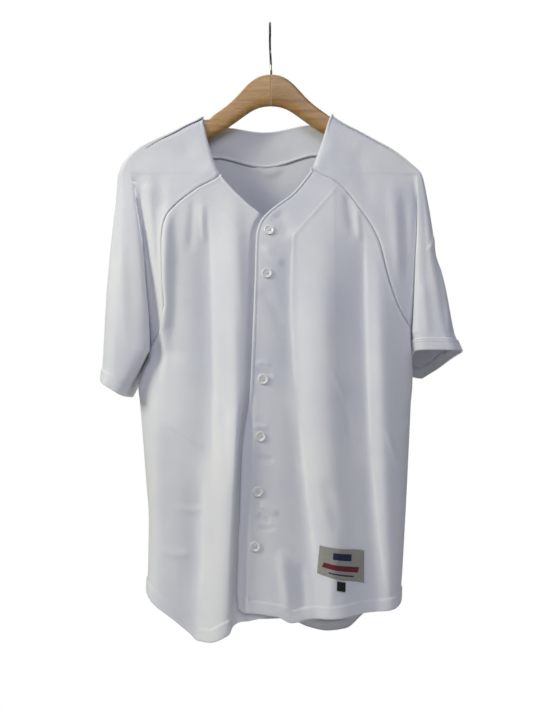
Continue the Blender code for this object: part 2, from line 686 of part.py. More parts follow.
def patch(name, grid, corners, lift, wall, slot, outward=1.0):
    """Flat piece sewn on a panel: its corners as sideways distance and height, its points from the panel."""
    (i0, j0), (i1, j1), (i2, j2), (i3, j3) = [place(grid, x, z) for x, z in corners]
    us = line_stops(0.5 * (j0 + j3), 0.5 * (j1 + j2))
    vs = line_stops(0.5 * (i0 + i1), 0.5 * (i2 + i3))
    u = (us - us[0]) / (us[-1] - us[0])
    v = (vs - vs[0]) / (vs[-1] - vs[0])
    uu, vv = np.meshgrid(u, v)
    ii = (i0 * (1 - uu) + i1 * uu) * (1 - vv) + (i3 * (1 - uu) + i2 * uu) * vv
    jj = (j0 * (1 - uu) + j1 * uu) * (1 - vv) + (j3 * (1 - uu) + j2 * uu) * vv
    n = at_grid(normals(grid), ii, jj)
    n = n / np.linalg.norm(n, axis=2, keepdims=True) * outward
    outer = at_grid(grid, ii, jj) + n * (lift + wall)
    return shell(name, with_directions(outer), wall, slot, outward)


def with_directions(points):
    """A grid's points with the direction along each row."""
    du = np.gradient(points, axis=1)
    return np.concatenate([points, du / (np.linalg.norm(du, axis=2, keepdims=True) + 1e-12)], axis=2)


def line_stops(first, last):
    """Grid lines between two fractional positions, with both ends."""
    low, high = sorted((first, last))
    inside = [float(k) for k in range(int(math.ceil(low + 0.2)), int(math.floor(high - 0.2)) + 1)]
    return np.array([first] + (inside if first < last else inside[::-1]) + [last])


def surface_slot(name, colour, rough, metallic=0.0):
    """Plain surface with a colour and a roughness."""
    slot = bpy.data.materials.new(name)
    slot.use_nodes = True
    bsdf = slot.node_tree.nodes["Principled BSDF"]
    bsdf.inputs["Base Color"].default_value = (*colour, 1.0)
    bsdf.inputs["Roughness"].default_value = rough
    bsdf.inputs["Metallic"].default_value = metallic
    slot.diffuse_color = (*colour, 1.0)
    return slot


def tube_along(name, rings, slot, smooth=True):
    """Closed solid from rings of points, with its two ends filled."""
    count, sides = rings.shape[:2]
    verts = rings.reshape(-1, 3)
    faces = []
    for r in range(count - 1):
        for k in range(sides):
            a, b = r * sides + k, r * sides + (k + 1) % sides
            faces.append([a, b, b + sides, a + sides])
    faces.append(list(range(sides))[::-1])
    faces.append([(count - 1) * sides + k for k in range(sides)])
    return mesh_object(name, verts, faces, slot, smooth)


def hanger_half(name, sign, slot):
    """One glued half of the hanger: rounded sections from the middle joint to the tip."""
    stops = np.concatenate([[0.15, 10.0], HANGER["x"][1:], [122.0, 146.0, 170.0, 192.0, 208.0, 217.0, HANGER_HALF]])
    rings = []
    for q in stops:
        x = sign * q
        top = float(along(HANGER, "x", "top", q)) if q < 92 else float(ridge(x)) - CLOTH - 1.4
        low = float(along(HANGER, "x", "low", q)) if q < 99.5 else float(ridge(x)) - HANGER_TALL - 3.0
        thick = HANGER_HALF_THICK
        if q > 205:
            f = math.sqrt(max(1 - ((q - 205.0) / (HANGER_HALF - 205.0)) ** 2, 0.0)) * 0.75 + 0.25
            mid = 0.5 * (top + low) - 2.0
            top, low, thick = mid + (top - mid) * f, mid + (low - mid) * f, thick * (0.5 + 0.5 * f)
        a = np.linspace(0, 2 * np.pi, 16, endpoint=False)
        n = 3.0
        cx, sx = np.cos(a), np.sin(a)
        y = thick * np.sign(cx) * np.abs(cx) ** (2 / n)
        z = 0.5 * (top + low) + 0.5 * (top - low) * np.sign(sx) * np.abs(sx) ** (2 / n)
        rings.append(np.column_stack([np.full(16, x), y, z]))
    rings = np.array(rings)
    if sign < 0:
        rings = rings[:, ::-1]
    return tube_along(name, rings, slot)


def hook(slot):
    """Bent wire: an upright stem, a turn to the back and a crook open to the front, in the Y-Z plane."""
    r = HOOK_INNER + HOOK_WIRE / 2
    centre = -HOOK_INNER
    start = math.radians(-62.0)
    stop = math.radians(205.0)
    a = np.linspace(start, stop, 26)
    crook = np.column_stack([r * np.cos(a), centre + r * np.sin(a)])
    t = np.linspace(0.0, 1.0, 7)[:-1, None]
    p0, p1, p2, p3 = np.array([0.0, -60.0]), np.array([0.0, -50.0]), np.array([0.0, -43.0]), crook[0]
    p2 = p3 - np.array([-math.sin(start), math.cos(start)]) * 9.0
    bend = (1 - t) ** 3 * p0 + 3 * (1 - t) ** 2 * t * p1 + 3 * (1 - t) * t**2 * p2 + t**3 * p3
    path = np.vstack([[0.0, -77.6], bend, crook])
    tangent = np.gradient(path, axis=0)
    tangent /= np.linalg.norm(tangent, axis=1, keepdims=True)
    side = np.column_stack([-tangent[:, 1], tangent[:, 0]])
    b = np.linspace(0, 2 * np.pi, 10, endpoint=False)
    lean = np.interp(path[:, 1], [-77.0, -45.0, -18.0, 3.0], [0.7, -0.6, -1.4, -1.2])
    rings = []
    for p, n, q in zip(path, side, lean):
        rad = HOOK_WIRE / 2
        rings.append(np.column_stack([q + rad * np.cos(b), p[0] + rad * np.sin(b) * n[0], p[1] + rad * np.sin(b) * n[1]]))
    return tube_along("hook", np.array(rings), slot)


def button(name, grid, x, z, slot, thick=BUTTON_THICK):
    """Round button with a raised rim and four holes, seated on the front."""
    i, j = place(grid, x, z)
    p = at_grid(grid, np.array(i), np.array(j))
    n = -np.array(at_grid(normals(grid), np.array(i), np.array(j)))
    n = -n / np.linalg.norm(n)
    side = np.cross([0.0, 0.0, 1.0], n)
    side /= np.linalg.norm(side)
    up = np.cross(n, side)
    r = BUTTON_DIAMETER / 2
    ring = [at_grid(grid, np.array(a), np.array(b)) for a, b in
            [place(grid, x + r * math.cos(t), z + r * math.sin(t)) for t in np.linspace(0, 6.283, 16)]]
    lift = max(float((q - p) @ n) for q in ring + [p]) + 0.3
    profile = [(0.0, 0.0), (r - 0.8, 0.0), (r, 0.9), (r - 0.1, thick * 0.8), (r - 0.9, thick),
               (r - 2.2, thick * 0.92), (r - 3.0, thick * 0.62), (0.0, thick * 0.58)]
    sides = 20
    verts = [(0.0, 0.0, 0.0)]
    for rad, h in profile[1:-1]:
        for k in range(sides):
            t = 2 * math.pi * k / sides
            verts.append((rad * math.cos(t), rad * math.sin(t), h))
    verts.append((0.0, 0.0, profile[-1][1]))
    faces = [[0, 1 + (k + 1) % sides, 1 + k] for k in range(sides)]
    for q in range(len(profile) - 3):
        for k in range(sides):
            a, b = 1 + q * sides + k, 1 + q * sides + (k + 1) % sides
            faces.append([a, b, b + sides, a + sides])
    top = 1 + (len(profile) - 3) * sides
    faces += [[top + k, top + (k + 1) % sides, len(verts) - 1] for k in range(sides)]
    obj = mesh_object(name, verts, faces, slot, False)
    for hx, hy in ((-1, -1), (-1, 1), (1, -1), (1, 1)):
        drill(obj, hx * 1.55, hy * 1.55, thick)
    world = np.column_stack([side, up, n])
    for v in obj.data.vertices:
        q = world @ (np.array(v.co) * 1000.0) + p + n * lift
        v.co = (q * 0.001).tolist()
    obj.data.update()
    return obj


def drill(obj, x, y, thick):
    """Cuts one round hole through a button lying flat."""
    verts = [((x + BUTTON_HOLE / 2 * math.cos(2 * math.pi * k / 7)) * 0.001,
              (y + BUTTON_HOLE / 2 * math.sin(2 * math.pi * k / 7)) * 0.001, h * 0.001)
             for h in (-2.0, thick + 2.0) for k in range(7)]
    faces = [list(range(7))[::-1], list(range(7, 14))]
    faces += [[k, (k + 1) % 7, 7 + (k + 1) % 7, 7 + k] for k in range(7)]
    mesh = bpy.data.meshes.new("drill")
    mesh.from_pydata(verts, [], faces)
    tool = bpy.data.objects.new("drill", mesh)
    bpy.context.scene.collection.objects.link(tool)
    mod = obj.modifiers.new("hole", "BOOLEAN")
    mod.operation, mod.solver, mod.object = "DIFFERENCE", "EXACT", tool
    graph = bpy.context.evaluated_depsgraph_get()
    new = bpy.data.meshes.new_from_object(obj.evaluated_get(graph))
    obj.modifiers.clear()
    obj.data = new
    bpy.data.objects.remove(tool)


def facing(grid, slot):
    """Inner neck facing: its points from the back panel, moved in past the wall."""
    j0, j1 = 0.06, grid.shape[1] - 1.06
    stops_j = line_stops(j0, j1)
    depth = [0.0, 0.33, 0.66, 1.0]
    rows = []
    for d in depth:
        row = []
        for j in stops_j:
            column = at_grid(grid, np.arange(8.0), np.full(8, j))
            fall = FACING_DROP * d * (0.55 + 0.45 * math.sin(math.pi * (j - j0) / (j1 - j0)))
            z = column[0, 2] - 0.6 - fall
            row.append((float(np.interp(-z, -column[:, 2], np.arange(8.0))), j))
        rows.append(row)
    ij = np.array(rows)
    n = at_grid(normals(grid), ij[..., 0], ij[..., 1])
    n = n / np.linalg.norm(n, axis=2, keepdims=True)
    outer = at_grid(grid, ij[..., 0], ij[..., 1]) - n * (CLOTH + 0.4)
    return shell("neck_facing", with_directions(outer), 1.2, slot, 1.0)


for stale in list(bpy.data.objects):
    bpy.data.objects.remove(stale)

CLOTH_SLOT = surface_slot("white_woven_cloth", (0.78, 0.79, 0.80), 0.9)
WOOD_SLOT = surface_slot("clear_lacquered_beech", (0.72, 0.52, 0.33), 0.45)
STEEL_SLOT = surface_slot("dark_plated_steel", (0.25, 0.24, 0.23), 0.3, 1.0)
BUTTON_SLOT = surface_slot("white_cast_resin", (0.85, 0.85, 0.83), 0.3)
LABEL_SLOT = surface_slot("grey_woven_label", (0.55, 0.54, 0.50), 0.8)
TAB_SLOT = surface_slot("black_woven_tab", (0.03, 0.03, 0.035), 0.8)

RIGHT = front_grid("right", 12)
LEFT = front_grid("left", 12)
BACK = back_grid(22)
shell("front_right", RIGHT, walls(*RIGHT.shape[:2]), CLOTH_SLOT, -1.0, half=-1)
shell("front_left", LEFT, walls(*LEFT.shape[:2]), CLOTH_SLOT, 1.0, half=-1)
shell("back", BACK, walls(*BACK.shape[:2]), CLOTH_SLOT, 1.0, half=1)
facing(BACK, CLOTH_SLOT)
for which, way in (("right", 1.0), ("left", -1.0)):
    SLEEVE, OPEN_ROWS = sleeve_grid(which, (3, 3, 4))
    shell("sleeve_" + which, SLEEVE, walls(*SLEEVE.shape[:2]), CLOTH_SLOT, way, OPEN_ROWS)
hanger_half("hanger_right", -1.0, WOOD_SLOT)
hanger_half("hanger_left", 1.0, WOOD_SLOT)
hook(STEEL_SLOT)
for number, height in enumerate(BUTTON_HEIGHTS):
    edge_x = float(along(NECK_LEFT, "z", "edge", height))
    button("button_%d" % (number + 1), LEFT, edge_x + BUTTON_INSET, height, BUTTON_SLOT)
patch("label_patch", LEFT, [(70.5, -796.0), (136.5, -806.0), (136.0, -853.0), (67.0, -836.5)], 0.8, 0.8, LABEL_SLOT)
patch("size_tab", LEFT, [(95.0, -846.5), (107.5, -849.5), (107.0, -863.0), (94.5, -860.0)], 0.8, 0.6, TAB_SLOT)
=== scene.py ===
"""Baseball jersey on a wooden hanger, its looks: fine cloth, sewing, buttons, wood, light and camera.

Cloth surfaces are functions of two parameters, height and distance along a section, on grids about
2 mm apart, on the same sections as the solids.  Sizes are in millimetres until a mesh is made.
"""
import bpy
import math
import numpy as np
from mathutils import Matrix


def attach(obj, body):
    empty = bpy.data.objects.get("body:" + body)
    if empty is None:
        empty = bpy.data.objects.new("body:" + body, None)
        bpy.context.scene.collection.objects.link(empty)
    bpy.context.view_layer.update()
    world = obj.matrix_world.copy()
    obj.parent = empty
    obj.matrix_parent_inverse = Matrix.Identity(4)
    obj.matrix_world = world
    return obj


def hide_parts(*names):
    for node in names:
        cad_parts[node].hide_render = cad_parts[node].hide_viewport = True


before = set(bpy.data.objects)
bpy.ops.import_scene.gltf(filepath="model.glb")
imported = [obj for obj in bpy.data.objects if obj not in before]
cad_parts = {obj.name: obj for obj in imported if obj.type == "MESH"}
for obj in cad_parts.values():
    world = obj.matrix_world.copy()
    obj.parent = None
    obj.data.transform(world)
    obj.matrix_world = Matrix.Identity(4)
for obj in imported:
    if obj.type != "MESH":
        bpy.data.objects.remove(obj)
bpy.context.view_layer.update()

# driving sizes, mm
CENTRE_X = -6.8
CLOTH = 1.6
HEM_BAND = 18.0
SEAM_GAP = 0.3
SLEEVE_POWER = 4.0
PLEAT_LEAN = {"right": 9.0, "left": 5.0}
RIDGE_RADIUS = 10.4
SLEEVE_EDGE_RADIUS = 27.0
HANGER_HALF_THICK = 8.0
HOOK_WIRE = 3.5
FLANK_CELLS = 18
EDGE_CELLS = 12
UNDERLAP = 4.6
HOOK_INNER = 20.0
BUTTON_DIAMETER = 15.0
BUTTON_THICK = 2.6
FACING_DROP = 56.0
# wall of the fine cloth, depth of the tuck at the front edge, rise of the turned hem, and the creases' multiple
WALL = 1.1
TUCK = 11.0
HEM_RISE = 1.9
CREASE_DEPTH = 1.4
# heights where the pleats begin and where the fronts begin to overlap; sag of the back's neck edge
PLEAT_TOP = -238.0
OVERLAP_TOP = -292.0
NECK_DIP = 7.0
# lengths of the fronts and of the back below the armpit, for the hem band's rows
FRONT_BELOW = 390.0
BACK_BELOW = 420.0
# holes' distance from the button's middle, sideways and up
HOLE_AT = 1.55


def table(names, rows):
    """Named columns from rows of numbers."""
    block = np.array(rows, float)
    return {name: block[:, i] for i, name in enumerate(names.split())}


def along(columns, key, name, at):
    """Smooth curve through a table's column: cubic pieces with slopes kept free of overshoot."""
    order = np.argsort(columns[key])
    x, y = columns[key][order], columns[name][order]
    h, d = np.diff(x), np.diff(y) / np.diff(x)
    mean = np.where(d[:-1] * d[1:] > 0, 2 * d[:-1] * d[1:] / (d[:-1] + d[1:] + 1e-12), 0.0)
    m = np.concatenate([d[:1], mean, d[-1:]])
    q = np.clip(np.asarray(at, float), x[0], x[-1])
    i = np.clip(np.searchsorted(x, q) - 1, 0, len(h) - 1)
    t = (q - x[i]) / h[i]
    return ((2 * t**3 - 3 * t**2 + 1) * y[i] + (t**3 - 2 * t**2 + t) * h[i] * m[i]
            + (3 * t**2 - 2 * t**3) * y[i + 1] + (t**3 - t**2) * h[i] * m[i + 1])


# outline of the shoulders and of the sleeves' outer edges by height, wearer's right and left
EDGE = table("z right left", [
    (-143.3, -96, 93.7), (-147.1, -104.4, 99.5), (-157.9, -129.5, 116), (-170.1, -153.4, 140), (-184.6, -186.8, 166),
    (-199.1, -213.1, 192), (-218.2, -231, 217), (-237.6, -238.6, 235.5), (-271.2, -240.8, 243),
    (-319.4, -245.8, 250.5), (-367.1, -250.4, 256.5), (-427.2, -254.6, 271), (-478.5, -256.6, 281.5),
    (-512, -258, 289)])

# side of the body, and above the armpits the foot of the pleat between body and sleeve
SIDE = table("z right left round_right round_left", [
    (-237.9, -216, 226, 4, 4.5), (-275.6, -206, 226, 3.6, 4.5), (-330.4, -198.5, 225, 3.2, 4.5),
    (-369.5, -195, 223, 2.9, 4.5), (-416.3, -191.5, 220.5, 2.7, 4.5), (-463, -189, 217.5, 2.5, 4.3),
    (-486, -188, 216, 2.5, 4.2), (-512, -187.5, 216, 2.5, 4), (-540, -199, 217, 2.6, 4),
    (-565, -204.5, 216.5, 2.7, 4), (-590, -201.5, 214, 2.9, 4), (-634.9, -197, 211.5, 3.2, 4),
    (-705.8, -190.5, 207.5, 3.5, 4), (-770.3, -185.5, 203.5, 3.5, 4), (-835.4, -186.5, 199, 3.5, 4),
    (-890, -188, 194.5, 3.5, 4), (-965, -188, 192, 3.5, 4)])

# how much of the depth is left at the foot of the pleat
PLEAT = table("z right left", [
    (-143, 1, 1), (-240, 1, 0.96), (-276, 0.86, 0.7), (-330, 0.66, 0.4), (-400, 0.4, 0.18), (-460, 0.18, 0.05),
    (-486, 0.08, 0), (-512, 0, 0)])

# half depth front and back by the drop below the shoulder line
DEPTH = table("drop front back", [
    (0, 10.4, 10.4), (20, 12, 12), (90, 24, 22), (200, 43, 40), (350, 58, 55), (550, 68, 68), (820, 74, 76)])

# raglan seams, front and back, from the neck to the armpit as the distance sideways by height
SEAM_RIGHT = table("z front back", [
    (-157, -78.5, -78.5), (-240.5, -78.5, -112), (-263, -112.5, -122), (-288, -144.5, -132), (-306, -158.5, -139),
    (-325, -164, -146), (-343, -165.5, -151), (-373, -164, -157), (-408, -162, -162), (-443, -159, -165),
    (-465, -163.5, -169), (-481, -169, -174), (-495, -177, -179), (-505, -184, -184.5), (-512, -187.5, -187.5)])
SEAM_LEFT = table("z front back", [
    (-153, 64, 64), (-230, 64, 98), (-255, 102.5, 112), (-268, 116.5, 118), (-294, 135, 130), (-322, 153.5, 141),
    (-352, 166, 151), (-378, 171.5, 159), (-411, 179.5, 168), (-443, 191, 185), (-458, 199, 196), (-470, 207, 206),
    (-479, 213.5, 213), (-486, 216, 216)])

# neck edge of the sleeves' front and of the two fronts, and the front edges below
NECK_RIGHT = table("z edge", [
    (-148, -104.3), (-155, -104.6), (-171, -101), (-185, -97.6), (-205, -92), (-233, -82), (-240.5, -77.5),
    (-264, -58.8), (-283, -40), (-304.5, -15.7), (-320, 3), (-332, 10), (-352, 12), (-960, -8)])
NECK_LEFT = table("z edge", [
    (-144, 93.4), (-153, 89.3), (-169, 84.5), (-188, 78.6), (-212, 70.3), (-230, 63.4), (-251.5, 49.5), (-273, 30.8),
    (-289, 9.8), (-305.5, -8.8), (-319.5, -18), (-338, -22.6), (-371, -23.8), (-413, -25), (-560, -30.5), (-700, -37),
    (-800, -42), (-960, -46)])

# hem of each panel by the distance sideways
HEM_RIGHT = table("x z", [
    (-190, -871), (-180, -879), (-166, -890), (-144, -907), (-122, -925), (-107, -936), (-88, -934), (-62, -922),
    (-36, -908), (14, -899)])
HEM_LEFT = table("x z", [
    (-46, -884), (-40, -893), (-22, -895), (9, -900), (30, -909), (58, -904), (97, -901), (131, -897), (160, -896),
    (178, -893), (196, -884)])
HEM_BACK = table("x z", [
    (-190, -871), (-172, -900), (-150, -925), (-110, -942), (-66, -939), (-24, -942), (24, -945), (62, -958),
    (94, -961), (122, -959), (148, -936), (174, -908), (196, -886)])

# folds: line through three distances sideways, ends by height, half widths each side, rise (+) or fall (-)
FRONT_FOLDS = table("top middle bottom z_top z_bottom wide_low wide_high rise", [
    (-157, -160, -158, -270, -520, 10, 10, 5.5),
    (-98, -90, -92, -262, -740, 36, 18, -8),
    (-62, -46, -54, -250, -760, 20, 15, 8),
    (-50, -66, -92, -560, -1200, 26, 22, 17),
    (-114, -112, -120, -640, -1100, 30, 18, -8),
    (-168, -170, -168, -560, -1000, 14, 16, 4),
    (32, 44, 92, -290, -1100, 30, 15, -6),
    (78, 84, 118, -280, -1100, 28, 24, 8),
    (140, 143, 180, -262, -1150, 34, 15, -6.5),
    (164, 168, 196, -310, -1150, 12, 20, 5)])
BACK_FOLDS = table("top middle bottom z_top z_bottom wide_low wide_high rise", [
    (-150, -152, -156, -260, -1150, 18, 22, 8),
    (-104, -108, -114, -240, -1150, 22, 22, -9),
    (-58, -64, -70, -230, -1150, 20, 20, 9),
    (-14, -16, -20, -300, -1150, 24, 24, -8),
    (34, 38, 36, -260, -1150, 20, 22, 8),
    (82, 86, 92, -240, -1150, 20, 24, -9),
    (136, 142, 150, -260, -1150, 22, 20, 9)])

# sleeves below the armpit, right and left: inner and outer line at the hem, and how far the back hangs lower
CUFF = table("inner_x inner_z outer_x outer_z back_lower", [
    (-220, -581, -260.5, -556, 4), (217.5, -511, 294, -512, 46)])

# wooden hanger by the distance from its middle: top edge shown and lower edge
HANGER = table("x top low", [
    (0, -78, -127), (19, -81.7, -130), (31, -90, -136), (40, -98, -142), (49, -109.5, -149), (60, -120.5, -156.5),
    (73, -131.5, -166), (88, -142, -174), (99, -149.5, -179.5)])
HANGER_HALF = 222.0
HANGER_TALL = 29.0
# rows as shares of the way: from the seam's top to the armpit, from the neck point to it, body, cuff
ARMHOLE_STEPS = np.concatenate([[0.004], np.linspace(0.012, 1.0, 126)])
SHOULDER_STEPS = np.concatenate([[0.004, 0.012], np.linspace(0.02, 0.985, 44)])
BODY_STEPS = np.linspace(0.006, 0.946, 158)
CUFF_STEPS = np.linspace(0.03, 0.72, 22)
BAND_STEPS = np.array([-1.0, -0.4, 0.0, 2.0, 4.0, 6.0, 8.0, 10.0, 12.0, 14.0, 16.0, 17.2, 18.0])
BUTTON_HEIGHTS = (-330.0, -396.0, -555.0, -639.0, -719.0, -798.0)
BUTTON_INSET = 18.5

SIDES = {"right": dict(sign=-1.0, neck_z=-147.6, seam_z=-240.5, back_z=-157.0, armpit=-512.0, seam=SEAM_RIGHT,
                       neck=NECK_RIGHT, hem=HEM_RIGHT, cuff=0),
         "left": dict(sign=1.0, neck_z=-143.8, seam_z=-230.0, back_z=-153.0, armpit=-486.0, seam=SEAM_LEFT,
                      neck=NECK_LEFT, hem=HEM_LEFT, cuff=1)}


def ease(t):
    """Smooth step from 0 to 1."""
    t = np.clip(t, 0.0, 1.0)
    return t * t * (3 - 2 * t)


def bend(a, b, c, t):
    """Curve through three values, at shares 0, a half and 1 of the way."""
    return a * (1 - t) * (1 - 2 * t) + 4 * b * t * (1 - t) + c * t * (2 * t - 1)


def ridge(x):
    """Height of the shoulder line over a point."""
    top = EDGE["z"] > -245.0
    xs = np.concatenate([EDGE["right"][top][1:][::-1], EDGE["left"][top]])
    zs = np.concatenate([EDGE["z"][top][1:][::-1], EDGE["z"][top]])
    return along({"x": xs, "z": zs}, "x", "z", x)


def plateau(face, x, z):
    """Half depth of the garment over a point, by its drop below the shoulder line."""
    deep = along(DEPTH, "drop", face, np.maximum(ridge(x) - z, 0.0))
    if face == "back":
        deep = deep + 13.0 * np.exp(-((x - CENTRE_X) / 62.0) ** 2) * np.exp(-(((z + 160.0) / 90.0) ** 2))
    return deep


def folds(face, x, z):
    """Sum of the folds: bell curves across lines that bend through three points, faded at their ends."""
    rows = FRONT_FOLDS if face == "front" else BACK_FOLDS
    total = np.zeros(np.broadcast(x, z).shape)
    for top, middle, bottom, z_top, z_bottom, low, high, rise in zip(*rows.values()):
        t = (z_top - z) / (z_top - z_bottom)
        off = x - bend(top, middle, bottom, t)
        hump = np.exp(-((off / np.where(off < 0, low, high)) ** 2))
        total = total + rise * hump * ease(t / 0.25) * ease((1 - t) / 0.25)
    return total


def push(face, x, y, z, amount):
    """Moves a section's points outward along its own direction by the amount."""
    out = -1.0 if face == "front" else 1.0
    dx, dy = np.gradient(x), np.gradient(y)
    size = np.hypot(dx, dy) + 1e-9
    nx, ny = dy / size, -dx / size
    flip = np.sign(ny * out) + (ny == 0)
    return x + nx * flip * amount, y + ny * flip * amount


def body_half(side, face, z, count=560):
    """Body section from its side, or the pleat's foot, to the middle: a flattened oval with folds.
    z is one height or a function of the distance sideways."""
    s = SIDES[side]["sign"]
    out = -1.0 if face == "front" else 1.0
    near = float(z(CENTRE_X + 200.0 * s)) if callable(z) else float(z)
    u = ease(np.linspace(0.0, 1.0, count))
    a = 0.05 * np.pi * u + 0.9 * np.arccos((1 - u) ** (float(along(SIDE, "z", "round_" + side, near)) / 2))
    level = z if callable(z) else (lambda q: np.full(count, float(z)))
    zz = level(np.full(count, CENTRE_X + 200.0 * s))
    for _ in range(2):
        foot = along(SIDE, "z", side, zz)
        power = 2 / along(SIDE, "z", "round_" + side, zz)
        across, deep = np.cos(a) ** power, np.sin(a) ** power
        x = CENTRE_X + (foot - CENTRE_X) * across
        zz = level(x)
    floor = along(PLEAT, "z", side, zz) * plateau(face, foot, zz)
    y = out * (floor + (plateau(face, x, zz) - floor) * deep)
    px, py = push(face, x, y, zz, folds(face, x, zz) * ease(deep * 1.4))
    return x, np.column_stack([px, py, zz])


def neck_or_seam(side, face, z):
    """Distance sideways of the sleeve's first edge: raglan seam, and above its top the neck edge."""
    s = SIDES[side]
    top = s["seam_z"] if face == "front" else s["back_z"]
    if z <= top:
        return float(along(s["seam"], "z", face, z))
    if face == "front":
        return float(along(s["neck"], "z", "edge", z))
    t = (z - top) / (s["neck_z"] + 0.2 - top)
    return float(s["seam"]["back"][0] * (1 - t) + s["neck"]["edge"][0] * t)


def sleeve_half(side, face, z, foot=None, rim=None, lean=None):
    """Sleeve section from its first edge over the pleat to the outer edge, in three runs of points."""
    s = SIDES[side]["sign"]
    out = -1.0 if face == "front" else 1.0
    edge = float(along(EDGE, "z", side, z)) if rim is None else rim
    first = None
    if foot is None:
        first = neck_or_seam(side, face, z)
        share = 0.86 if side == "right" else 0.944
        foot = float(along(SIDE, "z", side, z)) if z < PLEAT_TOP else first + share * (edge - first)
        foot = s * min(s * foot, s * edge - 6.0) if s * edge - s * first > 16 else first + 0.6 * (edge - first)
    runs = []
    floor = float(along(PLEAT, "z", side, z)) * plateau(face, foot, z)
    if first is not None:
        if z < PLEAT_TOP:
            base, pts = body_half(side, face, z)
            keep = s * base > s * first
            near = np.array([np.interp(s * first, s * base[::-1], pts[::-1, k]) for k in range(3)])
            runs.append(np.vstack([near, pts[keep][::-1]]))
        else:
            x = np.linspace(first, foot, 40)
            y = out * plateau(face, x, z)
            e = np.abs(x - edge) * slope(side, z)
            y = y * np.sqrt(np.clip(1 - (1 - np.minimum(e / RIDGE_RADIUS, 1.0)) ** 2, 0.0, 1.0))
            px, py = push(face, x, y, z, folds(face, x, np.full(40, z)))
            runs.append(np.column_stack([px, py, np.full(40, z)]))
    mid = 0.5 * (foot + edge)
    a = np.linspace(0.0, np.pi / 2, 80)
    x = mid + (foot - mid) * np.cos(a) ** (2 / SLEEVE_POWER)
    rise = np.sin(a) ** (2 / SLEEVE_POWER)
    lean = PLEAT_LEAN[side] * float(ease((-240.0 - z) / 160.0)) * (1.0 if lean is None else lean)
    x = x - s * lean * np.sin(2 * a)
    y = out * (floor + (plateau(face, x, z) - floor) * rise)
    e = np.abs(x - edge) * slope(side, z)
    radius = min(RIDGE_RADIUS + (SLEEVE_EDGE_RADIUS - RIDGE_RADIUS) * float(ease((-215.0 - z) / 120.0)),
                 0.97 * abs(edge - mid) * slope(side, z))
    radius = max(radius, 1.0)
    round_off = np.sqrt(np.clip(1 - (1 - np.minimum(e / radius, 1.0)) ** 2, 0.0, 1.0))
    runs.append(np.column_stack([x, y * round_off, np.full(80, z)]))
    b = np.linspace(0.0, np.pi / 2, 60)
    flat = np.linspace(mid, edge - s * radius / slope(side, z), 30)[:-1]
    xx = np.concatenate([flat, edge - s * radius * (1 - np.sin(b)) / slope(side, z)])
    gg = np.concatenate([np.ones(len(flat)), np.cos(b)])
    runs.append(np.column_stack([xx, out * plateau(face, xx, z) * gg, np.full(len(xx), z)]))
    return runs


def slope(side, z):
    """Sine of the outline's steepness, from flat shoulder to upright sleeve edge."""
    d = float(along(EDGE, "z", side, z - 3.0) - along(EDGE, "z", side, z + 3.0)) / 6.0
    return 1.0 / math.sqrt(1.0 + d * d)


def spread(points, count, start=0.0, stop=0.0, lines=(None, None)):
    """Count + 1 points along a line of points, each with the line's direction there.
    With a line at either end, the run beyond it gets its own few points, and the run between is even sideways."""
    points, s = thinned(points)
    a, b = start, s[-1] - stop
    if lines[0] is None and lines[1] is None:
        q = np.linspace(a, b, count + 1)
    else:
        way = 1.0 if points[-1, 0] > points[0, 0] else -1.0
        x = way * points[:, 0]
        half = len(x) // 2
        x = np.concatenate([np.minimum.accumulate(x[:half][::-1])[::-1], np.maximum.accumulate(x[half:])])
        x = x + np.arange(len(x)) * 1e-9
        ends = []
        for line, q in ((lines[0], a), (lines[1], b)):
            ends.append(q if line is None else float(np.clip(np.interp(way * line, x, s), a, b)))
        n0 = FLANK_CELLS if lines[0] is not None else 0
        n1 = (FLANK_CELLS if lines[2] else EDGE_CELLS) if lines[1] is not None else 0
        x0, x1 = np.interp(ends[0], s, x), np.interp(ends[1], s, x)
        between = np.interp(np.linspace(x0, x1, count - n0 - n1 + 1), x, s)
        between[0], between[-1] = ends
        q = np.concatenate([np.linspace(a, ends[0], n0 + 1)[:-1], between, np.linspace(ends[1], b, n1 + 1)[1:]])
    return sampled(points, s, q)


def thinned(points):
    """Points of a line at least 0.06 mm apart, and the lengths along it."""
    step = np.linalg.norm(np.diff(points, axis=0), axis=1)
    way = np.floor(np.concatenate([[0.0], np.cumsum(step)]) / 0.06)
    keep = np.concatenate([[True], np.diff(way) > 0])
    points = np.vstack([points[keep][:-1], points[-1]])
    return points, np.concatenate([[0.0], np.cumsum(np.linalg.norm(np.diff(points, axis=0), axis=1))])


def sampled(points, s, q):
    """Points of a line at lengths q, each with the line's direction there."""
    direction = np.gradient(points, s, axis=0)
    direction /= np.linalg.norm(direction, axis=1, keepdims=True) + 1e-12
    both = np.hstack([points, direction])
    return np.column_stack([np.interp(q, s, both[:, k]) for k in range(6)])


def cut(base, points, x_from, x_to):
    """Part of a section between two distances sideways."""
    order = np.argsort(base, kind="stable")
    b, p = base[order], points[order]
    ends = [np.array([np.interp(x, b, p[:, k]) for k in range(3)]) for x in (x_from, x_to)]
    lo, hi = sorted((x_from, x_to))
    inside = p[(b > lo + 1e-6) & (b < hi - 1e-6)]
    if x_from > x_to:
        inside = inside[::-1]
    return np.vstack([ends[0], inside, ends[1]])


def levels(side):
    """Heights of the rows from the neck point to the armpit, shared by a sleeve and the panels beside it."""
    s = SIDES[side]
    up = [s["neck_z"] + (s["seam_z"] - s["neck_z"]) * t for t in SHOULDER_STEPS]
    down = [s["seam_z"] + (s["armpit"] - s["seam_z"]) * t for t in ARMHOLE_STEPS]
    return up, down


def face_line(side, z, first, last):
    """Where a body panel's face begins beside its seam or flank: steady below, a share of the width above."""
    far = 157.0 if side == "right" else 182.0
    steady = SIDES[side]["sign"] * far
    share = first + 0.26 * (last - first)
    t = float(ease((-330.0 - z) / 130.0))
    return share + (steady - share) * t


